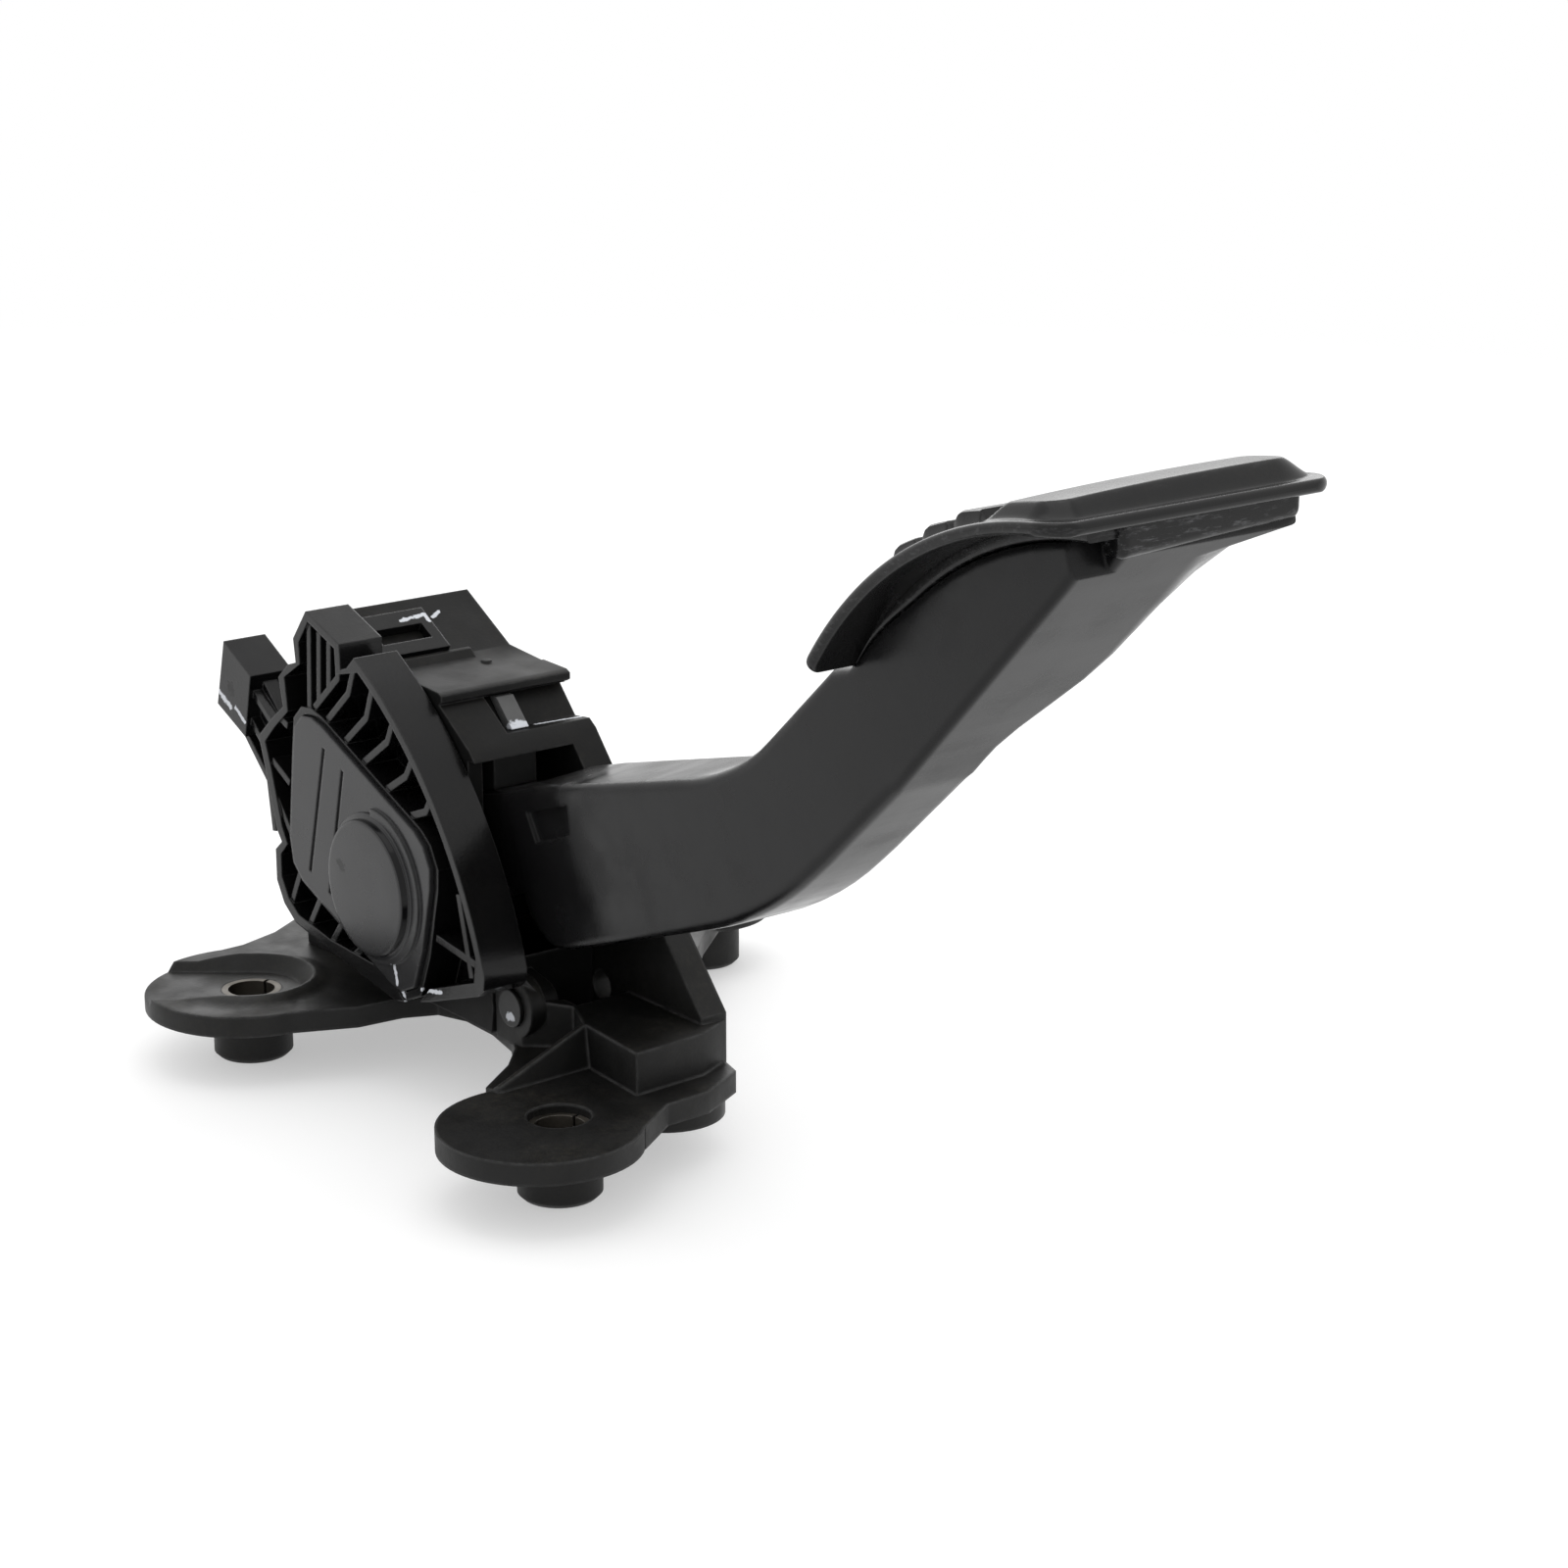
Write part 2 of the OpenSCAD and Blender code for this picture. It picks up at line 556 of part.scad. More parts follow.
// One station: top, wing and low points, near y, far y of top, wing and low, edge radius, lift of the far top edge
lower_s = [root_s - 8, root_s, -71.3, -70.9, -70.2, -69, -67, -64, -61, -52, -34, -16, -12, -8, -4, 0, 4, 8, 12, 16, 27, heel_s];
lower_stations = [for (s = lower_s) let (top = top_at(s), low = low_at(s), y = wing_y((s - 20) / 60))
    [top, mix(top, low, 0.5), low, near_y(s), y, mix(y, arm_far, 0.5), arm_far, arm_r, tilt_at(s)]];
upper_t = [0, 0.06, 0.12, 0.2, 0.3, 0.4, 0.5, 0.6, 0.7, 0.8, 0.88, toe_t];
upper_stations = [for (t = upper_t)
    [seat_at(t), mix(seat_at(t), sole_at(t), 0.45), sole_at(t), arm_y,
        wing_y(0.3 + t), wing_y((t - 0.1) / 0.6), sole_y(t), 1.6, [0, 0]]];
end_stations = [for (t = [toe_t + 0.002, 1])
    [seat_at(t), mix(seat_at(t), sole_at(t), 0.45), sole_at(t), arm_y + near_step,
        wing_y(1), wing_y(1), mix(sole_y(1), wing_y(1), clamp((t - toe_t) / (1 - toe_t))), 1.6, [0, 0]]];
stations = concat(lower_stations, upper_stations, end_stations);

// Rounded outline of one station with five corners
corner_n = 4;
function xyz(p, y) = [p[0], y, p[1]];
function corner(before, at, after, r) =
    let (ra = min(r, norm(before - at) * 0.45), rb = min(r, norm(after - at) * 0.45),
        a = at + ra * (before - at) / norm(before - at), b = at + rb * (after - at) / norm(after - at))
    [for (i = [0:corner_n]) let (t = i / corner_n) (1 - t) * (1 - t) * a + 2 * t * (1 - t) * at + t * t * b];
function ring(st) =
    let (q = [xyz(st[2], st[3]), xyz(st[0], st[3]), xyz(st[0] + st[8], st[4]), xyz(st[1], st[5]), xyz(st[2], st[6])])
    [for (k = [0:4]) each corner(q[(k + 4) % 5], q[k], q[(k + 1) % 5], st[7])];
ring_n = 5 * (corner_n + 1);

module arm_loft() {
    n = len(stations);
    first = ring(stations[0]);
    last = ring(stations[n - 1]);
    c0 = n * ring_n;
    polyhedron(
        points = concat(
            [for (st = stations) each ring(st)],
            [(first[0] + first[2 * corner_n + 2]) / 2, (last[0] + last[2 * corner_n + 2]) / 2]),
        faces = concat(
            [for (i = [0:ring_n - 1]) [c0, (i + 1) % ring_n, i]],
            [for (j = [0:n - 2], i = [0:ring_n - 1]) let (a = j * ring_n + i, b = j * ring_n + (i + 1) % ring_n)
                each [[a, b + ring_n, a + ring_n], [a, b, b + ring_n]]],
            [for (i = [0:ring_n - 1]) [c0 + 1, (n - 1) * ring_n + i, (n - 1) * ring_n + (i + 1) % ring_n]]
        )
    );
}

hub_r = 12;
hub_y0 = arm_y + 0.8;
hub_y1 = far_in - 0.8;
tail_y0 = arm_y + 1.6;
tail_y1 = hub_y1 - 1;
tail_z = 45.4;
pocket_depth = 1.9;
neck_top = [[62, 60.4], [42.6, 55.6], [38.4, 54.4]];
module pedal_arm() color([0.2, 0.2, 0.2]) difference() {
    union() {
        arm_loft();
        // neck between the arm and its hub
        slab(arm_y + root_in + 0.2, arm_far - 1) polygon(concat(neck_top, arc(pivot, hub_r, 95, -58, 16), [[50, 37.6], [62, 47]]));
        bar(pivot, hub_r, hub_y0, hub_y1);
        // tail that carries the springs
        slab(tail_y0, tail_y1) polygon([
            [26, 47], [16, tail_z], [2, tail_z], [1, 44], [1, 41.6],
            pivot + (hub_r + 1.85) * dir(shoe_a0 - 14), pivot + (hub_r - 1.2) * dir(shoe_a0 + 24)]);
    }
    bar(pivot, shaft_d / 2, 0, 60);
    // shallow pocket on the near side
    slab(arm_y - 1, arm_y + pocket_depth) polygon([[57.3, 55.9], [71.5, 60.7], [72.2, 55.6], [60.4, 51]]);
}

module pivot_shaft() color([0.62, 0.62, 0.64]) union() {
    bar(pivot, shaft_d / 2, cover_back + 0.2, far_in + far_cheek_t - 2.4);
    bar(pivot, shaft_d / 2 - 1, cover_back - 2.6, cover_back + 0.4);
}

module bush(y0, y1) {
    difference() {
        bar(pivot, shaft_d / 2 + run_fit + bush_t, y0, y1);
        bar(pivot, shaft_d / 2 + run_fit, y0 - 1, y1 + 1);
    }
}
module pivot_bush_near() color([0.75, 0.72, 0.6]) bush(housing_y + 0.2, cheek_in);
module pivot_bush_far() color([0.75, 0.72, 0.6]) bush(far_in, far_in + far_cheek_t - 2.2);

// Return springs between the tail and the roof of the housing
cup_t = 2.6;
cup_r = 7;
cup_wall = 0.4;
cup_rim = 1.2;
stub_r = 1.9;
stub_h = 4;
spring_at = [8.5, (tail_y0 + tail_y1) / 2];
spring_z0 = tail_z + cup_t + 2 * seat_gap;
spring_z1 = spring_z0 + spring_l;
seat_boss_r = 7;
outer_coil_r = 5.6;
outer_wire_r = 0.8;
inner_coil_r = 3.2;
inner_wire_r = 0.55;
module coil(r, wire, turns, steps, sides) {
    n = turns * steps;
    pts = [for (i = [0:n], k = [0:sides - 1])
        let (a = 360 * i / steps, b = 360 * k / sides, z = spring_z0 + wire + (spring_z1 - spring_z0 - 2 * wire) * i / n)
        [(r + wire * cos(b)) * cos(a), (r + wire * cos(b)) * sin(a), z + wire * sin(b)]];
    translate([spring_at[0], spring_at[1], 0]) polyhedron(
        points = pts,
        faces = concat(
            [[for (k = [sides - 1:-1:0]) k]],
            [for (i = [0:n - 1], k = [0:sides - 1]) let (a = i * sides + k, b = i * sides + (k + 1) % sides)
                each [[a, b, b + sides], [a, b + sides, a + sides]]],
            [[for (k = [0:sides - 1]) n * sides + k]]
        )
    );
}
module return_spring_outer() color([0.6, 0.6, 0.62]) coil(outer_coil_r, outer_wire_r, 5, 16, 8);
module return_spring_inner() color([0.6, 0.6, 0.62]) coil(inner_coil_r, inner_wire_r, 7, 14, 6);

module spring_cup() color([0.78, 0.76, 0.7]) translate([spring_at[0], spring_at[1], tail_z + seat_gap]) difference() {
    union() {
        cylinder(r = cup_r, h = cup_t + cup_rim);
        cylinder(r = stub_r, h = cup_t + stub_h);
    }
    difference() {
        translate([0, 0, cup_t]) cylinder(r = cup_r - cup_wall, h = stub_h + 2);
        cylinder(r = stub_r, h = cup_t + stub_h + 3);
    }
}

// Friction shoe under the hub, lying on its pedestal in the housing
shoe_t = 2.8;
shoe_r = hub_r + run_fit + shoe_t;
shoe_a0 = 224;
shoe_span = 52;
shoe_a1 = shoe_a0 + shoe_span;
shoe_y0 = arm_y + 3;
shoe_y1 = hub_y1 - 2;
module friction_shoe() color([0.5, 0.45, 0.35]) slab(shoe_y0, shoe_y1) polygon(concat(
    arc(pivot, hub_r + run_fit + 0.05, shoe_a0, shoe_a1, 12), arc(pivot, shoe_r, shoe_a1, shoe_a0, 12)));

// Rubber stop under the ridge of the housing, which the neck meets at rest
module idle_stop() color([0.07, 0.07, 0.07]) slab(arm_y + 4, arm_y + 13) polygon([
    [38.5, 63.45], [43.2, 63.1], [43.2, 56.25], [38.5, 54.8]
]);

// Pad

pad_y0 = arm_y - 8.7;
pad_y1 = pad_y0 + pad_w;
pad_a1 = 91;
pad_corner = 5.5;
crown_a0 = 102;
crown_corner = 7;
crown_in = 2.2;
body_y1 = pad_y1 - 5.6;
body_a0 = 143.6;
pad_x0 = 145;
pad_top = 160;
ridge_in = 6;
ridge_run = 24.4;
ridge_a0 = crown_a0 + ridge_run;
ridge_step = 7.9;
module band_2d(r0, r1, a0, a1) {
    polygon(concat(arc(pad_c, r1, a0, a1, 32), arc(pad_c, r0, a1, a0, 32)));
}

module pad_plan() {
    x1 = pad_c[0] + pad_r * cos(pad_a1);
    linear_extrude(height = pad_top) union() {
        translate([pad_x0, pad_y0 + pad_corner]) square([x1 - pad_x0, pad_w - 2 * pad_corner]);
        translate([pad_x0, pad_y0]) square([x1 - pad_x0 - pad_corner, pad_w]);
        for (y = [pad_y0 + pad_corner, pad_y1 - pad_corner]) translate([x1 - pad_corner, y]) circle(r = pad_corner);
    }
}

module pedal_pad() color([0.11, 0.11, 0.11]) union() {
    // thin rim with rounded corners
    intersection() {
        slab(pad_y0, pad_y1) band_2d(pad_r, pad_r + pad_rim, pad_a0, pad_a1);
        pad_plan();
    }
    // body between the rim and the seat of the arm
    slab(arm_y + 0.4, body_y1) polygon(concat(
        arc(pad_c, pad_r + 0.5, body_a0, toe_a, 24),
        [for (i = [24:-1:0]) let (a = mix(body_a0, toe_a, i / 24)) pad_c + (seat_r(a) + seat_gap) * dir(a)]));
    crown();
    for (i = [0:ridge_n - 1]) ridge(i);
}

// Raised platform with chamfered edges and rounded corners at the toe
module crown() {
    r1 = pad_r + pad_rim;
    inset = crown_h * 1.1;
    x1 = pad_c[0] + (pad_r + pad_rim) * cos(pad_a1) - crown_in;
    y0 = pad_y0 + 1.6;
    y1 = pad_y1 - 1.6;
    intersection() {
        slab(y0 - 1, y1 + 1) polygon(concat(
            [pad_c + (r1 - 0.5) * dir(crown_a0 + 3)], arc(pad_c, r1 + crown_h, crown_a0, pad_a1 + 4.2, 12),
            [pad_c + (r1 - 0.5) * dir(pad_a1 + 1.8)]));
        translate([150, 0, 0]) rotate([90, 0, 90]) linear_extrude(height = 60) polygon([
            [y0, 100], [y1, 100], [y1, 132.6], [y1 - inset - 5, 137.4], [y0 + inset, 138], [y0, 132.6]]);
        linear_extrude(height = pad_top) union() {
            translate([150, y0]) square([x1 - 150 - crown_corner, y1 - y0]);
            translate([150, y0 + crown_corner]) square([x1 - 150, y1 - y0 - 2 * crown_corner]);
            for (y = [y0 + crown_corner, y1 - crown_corner]) translate([x1 - crown_corner, y]) circle(r = crown_corner);
        }
    }
}

// Grip ridge that rises slowly and drops steeply
module ridge(i) {
    a = ridge_a0 - ridge_step * i;
    r1 = pad_r + pad_rim;
    slab(pad_y0 + ridge_in, pad_y1 - ridge_in) polygon([
        pad_c + (r1 - 0.6) * dir(a), pad_c + r1 * dir(a), pad_c + (r1 + ridge_h) * dir(a - 4.6),
        pad_c + (r1 + ridge_h) * dir(a - 5.4), pad_c + r1 * dir(a - 6.2), pad_c + (r1 - 0.6) * dir(a - 6.2)]);
}

base_bracket();
bolt_sleeve_1();
bolt_sleeve_2();
bolt_sleeve_3();
pedal_housing();
housing_pin();
latch_tongue();
sensor_cover();
sensor_lid();
lid_seal();
circuit_board();
connector_terminals();
sensor_rotor();
sensor_magnet();
pedal_arm();
pivot_shaft();
pivot_bush_near();
pivot_bush_far();
return_spring_outer();
return_spring_inner();
spring_cup();
friction_shoe();
idle_stop();
pedal_pad();
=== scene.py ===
import math

import bmesh
import bpy
import numpy as np
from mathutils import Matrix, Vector


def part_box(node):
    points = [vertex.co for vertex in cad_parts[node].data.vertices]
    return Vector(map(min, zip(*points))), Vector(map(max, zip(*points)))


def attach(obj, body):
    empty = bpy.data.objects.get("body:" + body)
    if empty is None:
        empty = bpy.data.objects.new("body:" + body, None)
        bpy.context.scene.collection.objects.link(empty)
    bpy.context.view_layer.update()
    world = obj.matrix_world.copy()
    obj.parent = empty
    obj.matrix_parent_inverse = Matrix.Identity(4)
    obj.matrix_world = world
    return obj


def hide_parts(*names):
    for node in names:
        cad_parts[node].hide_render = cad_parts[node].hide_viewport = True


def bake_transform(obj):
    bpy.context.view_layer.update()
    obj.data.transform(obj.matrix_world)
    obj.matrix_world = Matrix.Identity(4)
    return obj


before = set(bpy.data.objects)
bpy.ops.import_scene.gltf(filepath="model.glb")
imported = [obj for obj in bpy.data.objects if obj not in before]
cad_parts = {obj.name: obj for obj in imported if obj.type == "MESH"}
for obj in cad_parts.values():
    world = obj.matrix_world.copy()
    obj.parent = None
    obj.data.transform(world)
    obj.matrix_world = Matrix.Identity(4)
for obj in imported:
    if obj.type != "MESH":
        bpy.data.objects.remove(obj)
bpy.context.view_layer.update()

# Studio
# A white table fades into a white surround. One soft lamp hangs overhead, a
# faint one stands at the front left, and a long one behind draws the bright
# line on the arm and the pad.
scene = bpy.context.scene
scene.view_settings.view_transform = "Standard"

camera_place = Vector((0.5611, -0.3129, 0.2400))
camera_turn = math.radians(142.0)
camera_dip = math.radians(16.5)
camera_focus_px = 3700
camera_nearest = 0.01
photo_px = 1600
film_width = 36.0

camera_data = bpy.data.cameras.new("camera")
camera_data.sensor_width = film_width
camera_data.lens = film_width * camera_focus_px / photo_px
camera_data.clip_start = camera_nearest
camera = bpy.data.objects.new("camera", camera_data)
scene.collection.objects.link(camera)
sight = Vector((math.cos(camera_dip) * math.cos(camera_turn),
                math.cos(camera_dip) * math.sin(camera_turn), -math.sin(camera_dip)))
camera.location = camera_place
camera.rotation_euler = sight.to_track_quat("-Z", "Y").to_euler()
scene.camera = camera


def seen_rays(nodes, links):
    """Factor that is 1 for rays from the eye and for rays that a glossy or clear surface sends
    on, and 0 for all others."""
    rays = nodes.new("ShaderNodeLightPath")
    first = nodes.new("ShaderNodeMath")
    first.operation = "ADD"
    links.new(rays.outputs["Is Camera Ray"], first.inputs[0])
    links.new(rays.outputs["Is Glossy Ray"], first.inputs[1])
    both = nodes.new("ShaderNodeMath")
    both.operation = "ADD"
    both.use_clamp = True
    links.new(first.outputs[0], both.inputs[0])
    links.new(rays.outputs["Is Transmission Ray"], both.inputs[1])
    return both.outputs[0]


sky_white = (1, 1, 1, 1)
sky_seen_strength = 1.0
sky_lit_strength = 1.0

world = bpy.data.worlds.new("studio")
scene.world = world
world.use_nodes = True
world_nodes = world.node_tree.nodes
world_links = world.node_tree.links
world_nodes.clear()
sky_out = world_nodes.new("ShaderNodeOutputWorld")
sky_seen = world_nodes.new("ShaderNodeBackground")
sky_lit = world_nodes.new("ShaderNodeBackground")
sky_mix = world_nodes.new("ShaderNodeMixShader")
sky_seen.inputs["Color"].default_value = sky_white
sky_seen.inputs["Strength"].default_value = sky_seen_strength
sky_lit.inputs["Color"].default_value = sky_white
sky_lit.inputs["Strength"].default_value = sky_lit_strength
world_links.new(seen_rays(world_nodes, world_links), sky_mix.inputs["Fac"])
world_links.new(sky_lit.outputs[0], sky_mix.inputs[1])
world_links.new(sky_seen.outputs[0], sky_mix.inputs[2])
world_links.new(sky_mix.outputs[0], sky_out.inputs["Surface"])


def soft_lamp(name, place, aim, width, height, watts):
    """Adds a rectangular lamp that shines from place towards aim."""
    data = bpy.data.lights.new(name, "AREA")
    data.shape = "RECTANGLE"
    data.size = width
    data.size_y = height
    data.energy = watts
    lamp = bpy.data.objects.new(name, data)
    scene.collection.objects.link(lamp)
    lamp.location = place
    lamp.rotation_euler = (Vector(aim) - Vector(place)).to_track_quat("-Z", "Y").to_euler()


soft_lamp("lamp_top", place=(0.10, 0.10, 1.20), aim=(0.08, 0.03, 0.0),
          width=0.9, height=0.9, watts=2.2)
soft_lamp("lamp_back", place=(-0.80, 0.75, 0.55), aim=(0.12, 0.03, 0.08),
          width=1.0, height=0.5, watts=3.0)
soft_lamp("lamp_left", place=(-0.50, -0.90, 0.60), aim=(0.05, 0.03, 0.05),
          width=0.6, height=0.6, watts=0.4)

table_half = 1.0
table_z = -0.0002
table_colour = (0.62, 0.62, 0.62, 1)
table_glow = 0.42
table_fade_from = 0.50
table_fade_to = 0.85

table_mesh = bpy.data.meshes.new("table")
table_mesh.from_pydata(
    [(-table_half, -table_half, table_z), (table_half, -table_half, table_z),
     (table_half, table_half, table_z), (-table_half, table_half, table_z)], [], [(0, 1, 2, 3)])
table = bpy.data.objects.new("table", table_mesh)
scene.collection.objects.link(table)
table_paint = bpy.data.materials.new("table_white")
table_paint.use_nodes = True
table_nodes = table_paint.node_tree.nodes
table_links = table_paint.node_tree.links
table_nodes.clear()
table_out = table_nodes.new("ShaderNodeOutputMaterial")
table_plain = table_nodes.new("ShaderNodeBsdfDiffuse")
table_plain.inputs["Color"].default_value = table_colour
table_shine = table_nodes.new("ShaderNodeEmission")
table_shine.inputs["Strength"].default_value = table_glow
table_sum = table_nodes.new("ShaderNodeAddShader")
table_seen = table_nodes.new("ShaderNodeMixShader")
table_links.new(table_plain.outputs[0], table_sum.inputs[0])
table_links.new(table_shine.outputs[0], table_sum.inputs[1])
table_links.new(seen_rays(table_nodes, table_links), table_seen.inputs["Fac"])
table_links.new(table_plain.outputs[0], table_seen.inputs[1])
table_links.new(table_sum.outputs[0], table_seen.inputs[2])
table_place = table_nodes.new("ShaderNodeTexCoord")
table_reach = table_nodes.new("ShaderNodeVectorMath")
table_reach.operation = "LENGTH"
table_links.new(table_place.outputs["Object"], table_reach.inputs[0])
table_fade = table_nodes.new("ShaderNodeMapRange")
table_fade.inputs["From Min"].default_value = table_fade_from
table_fade.inputs["From Max"].default_value = table_fade_to
table_links.new(table_reach.outputs["Value"], table_fade.inputs["Value"])
table_clear = table_nodes.new("ShaderNodeBsdfTransparent")
table_edge = table_nodes.new("ShaderNodeMixShader")
table_links.new(table_fade.outputs["Result"], table_edge.inputs["Fac"])
table_links.new(table_seen.outputs[0], table_edge.inputs[1])
table_links.new(table_clear.outputs[0], table_edge.inputs[2])
table_links.new(table_edge.outputs[0], table_out.inputs["Surface"])
table_mesh.materials.append(table_paint)

# Bracket
# The three-footed bracket is moulded in black glass-filled nylon, matt on its flats and
# smoother on its edges, whose colour is painted lighter, partly as wear from rubbing and partly
# as a painted highlight. Old road dust lies in its corners.
sharp_angle = math.radians(28)
weld_gap = 2e-6
flat_weight = 60


def shell_group():
    """Node group that joins the loose triangles and shades them smooth, but for the edges where
    the faces turn by more than the sharp angle."""
    found = bpy.data.node_groups.get("creased_shell")
    if found:
        return found
    group = bpy.data.node_groups.new("creased_shell", "GeometryNodeTree")
    group.interface.new_socket("Geometry", in_out="INPUT", socket_type="NodeSocketGeometry")
    group.interface.new_socket("Geometry", in_out="OUTPUT", socket_type="NodeSocketGeometry")
    source = group.nodes.new("NodeGroupInput")
    result = group.nodes.new("NodeGroupOutput")
    join = group.nodes.new("GeometryNodeMergeByDistance")
    join.inputs["Distance"].default_value = weld_gap
    smooth = group.nodes.new("GeometryNodeSetShadeSmooth")
    smooth.domain = "FACE"
    turn = group.nodes.new("GeometryNodeInputMeshEdgeAngle")
    over = group.nodes.new("FunctionNodeCompare")
    over.data_type = "FLOAT"
    over.operation = "GREATER_THAN"
    over.inputs["B"].default_value = sharp_angle
    crease = group.nodes.new("GeometryNodeSetShadeSmooth")
    crease.domain = "EDGE"
    crease.inputs["Shade Smooth"].default_value = False
    group.links.new(source.outputs[0], join.inputs["Geometry"])
    group.links.new(join.outputs["Geometry"], smooth.inputs["Geometry"])
    group.links.new(turn.outputs["Unsigned Angle"], over.inputs["A"])
    group.links.new(smooth.outputs["Geometry"], crease.inputs["Geometry"])
    group.links.new(over.outputs["Result"], crease.inputs["Selection"])
    group.links.new(crease.outputs["Geometry"], result.inputs[0])
    return group


def dress(name, material):
    """Joins a CAD node's triangles, creases its sharp edges, keeps its flats flat, and gives it
    its material."""
    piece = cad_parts[name]
    piece.modifiers.new("join", "NODES").node_group = shell_group()
    flats = piece.modifiers.new("flats", "WEIGHTED_NORMAL")
    flats.keep_sharp = True
    flats.weight = flat_weight
    piece.data.materials.clear()
    piece.data.materials.append(material)


dust_colour = (0.10, 0.088, 0.060)
scuff_colour = (0.12, 0.12, 0.125)
scuff_scale = (700, 260, 1500)
# Colours that edges are painted towards, partly as wear from rubbing and partly as a painted
# highlight.
worn_and_highlighted_plastic = (0.075, 0.075, 0.075)
worn_and_highlighted_metal = (0.6, 0.58, 0.55)


def plastic(name, colour, roughness, gloss=0.35, metal=0.0, mottling=0.18, blotch=0.06,
            grain=0.0006, grain_bump=0.00002, wave=0.0, streaks=None, dust=0.0, wear=None,
            edge=0.0005, edge_wear_and_highlight=0.5, marks=()):
    """Moulded finish. The colour is mottled by the mottling and the roughness varies by the
    blotch. The bump holds a fine grain, and a slow wave of so many times the grain's height.
    Streaks are the scales, per metre, of a cloud that is drawn out along the piece. Dust lies on
    faces turned up. Wear names the attribute that says where the piece is scuffed. Edges are
    rounded by the edge radius and painted lighter by the edge wear and highlight amount, partly as
    wear from rubbing and partly as a painted highlight. Each mark is a stroke of paint: its start,
    its end and its width in millimetres, and its colour."""
    paint = bpy.data.materials.new(name)
    paint.use_nodes = True
    nodes = paint.node_tree.nodes
    links = paint.node_tree.links
    nodes.clear()
    out = nodes.new("ShaderNodeOutputMaterial")
    skin = nodes.new("ShaderNodeBsdfPrincipled")
    links.new(skin.outputs[0], out.inputs["Surface"])
    skin.inputs["Metallic"].default_value = metal
    skin.inputs["Specular IOR Level"].default_value = gloss
    where = nodes.new("ShaderNodeTexCoord")
    place = where.outputs["Object"]

    def noise(size, detail=3.0, rough=0.55, vector=None):
        """A cloud pattern whose blobs are about size metres wide."""
        cloud = nodes.new("ShaderNodeTexNoise")
        cloud.inputs["Scale"].default_value = 1.0 / size
        cloud.inputs["Detail"].default_value = detail
        cloud.inputs["Roughness"].default_value = rough
        links.new(vector or place, cloud.inputs["Vector"])
        return cloud.outputs["Fac"]

    def remap(value, low, high, to_low, to_high):
        """Linear change of range with the ends held."""
        change = nodes.new("ShaderNodeMapRange")
        change.inputs["From Min"].default_value = low
        change.inputs["From Max"].default_value = high
        change.inputs["To Min"].default_value = to_low
        change.inputs["To Max"].default_value = to_high
        links.new(value, change.inputs["Value"])
        return change.outputs["Result"]

    def spread(cloud, to_low, to_high):
        """Takes the range that a cloud pattern mostly keeps to, 0.3 to 0.7, to the new range."""
        return remap(cloud, 0.3, 0.7, to_low, to_high)

    def math_of(operation, first, second):
        """One arithmetic step on two values, either of which may be a number."""
        step = nodes.new("ShaderNodeMath")
        step.operation = operation
        for socket, value in zip(step.inputs, (first, second)):
            if isinstance(value, (int, float)):
                socket.default_value = value
            else:
                links.new(value, socket)
        return step.outputs[0]

    def vector_math(operation, first, second):
        """One step on two vectors, either of which may be a plain vector."""
        step = nodes.new("ShaderNodeVectorMath")
        step.operation = operation
        for socket, value in zip(step.inputs, (first, second)):
            if isinstance(value, Vector):
                socket.default_value = value
            else:
                links.new(value, socket)
        return step

    def scaled(vector, factor):
        """A plain vector times a value."""
        step = nodes.new("ShaderNodeVectorMath")
        step.operation = "SCALE"
        step.inputs[0].default_value = vector
        links.new(factor, step.inputs["Scale"])
        return step.outputs["Vector"]

    def drawn_out(scale):
        """The place on the piece, scaled so that a cloud of size 1 gets longer along it."""
        change = nodes.new("ShaderNodeMapping")
        change.inputs["Scale"].default_value = scale
        links.new(place, change.inputs["Vector"])
        return change.outputs["Vector"]

    def blend(amount, under, over):
        """Lays one colour over another by the amount."""
        mix = nodes.new("ShaderNodeMix")
        mix.data_type = "RGBA"
        links.new(amount, mix.inputs["Factor"])
        links.new(under, mix.inputs["A"])
        mix.inputs["B"].default_value = (*over, 1)
        return mix.outputs["Result"]

    def stroke(start, end, width):
        """How far paint covers a place: wholly up to 0.4 widths from the line between start and
        end, and not at all past 0.62 widths. A cloud frays the border by 0.3 widths."""
        start = Vector(start) / 1000
        along = Vector(end) / 1000 - start
        shortest = 1e-12
        away = vector_math("SUBTRACT", place, start).outputs["Vector"]
        share = vector_math("DOT_PRODUCT", away, along / max(along.length_squared, shortest))
        held = remap(share.outputs["Value"], low=0.0, high=1.0, to_low=0.0, to_high=1.0)
        foot = scaled(along, held)
        gap = vector_math("DISTANCE", away, foot).outputs["Value"]
        frayed = spread(noise(size=0.0009, detail=3, rough=0.6), -width * 0.0003, width * 0.0003)
        return remap(math_of("ADD", gap, frayed), low=width * 0.0004, high=width * 0.00062,
                     to_low=1.0, to_high=0.0)

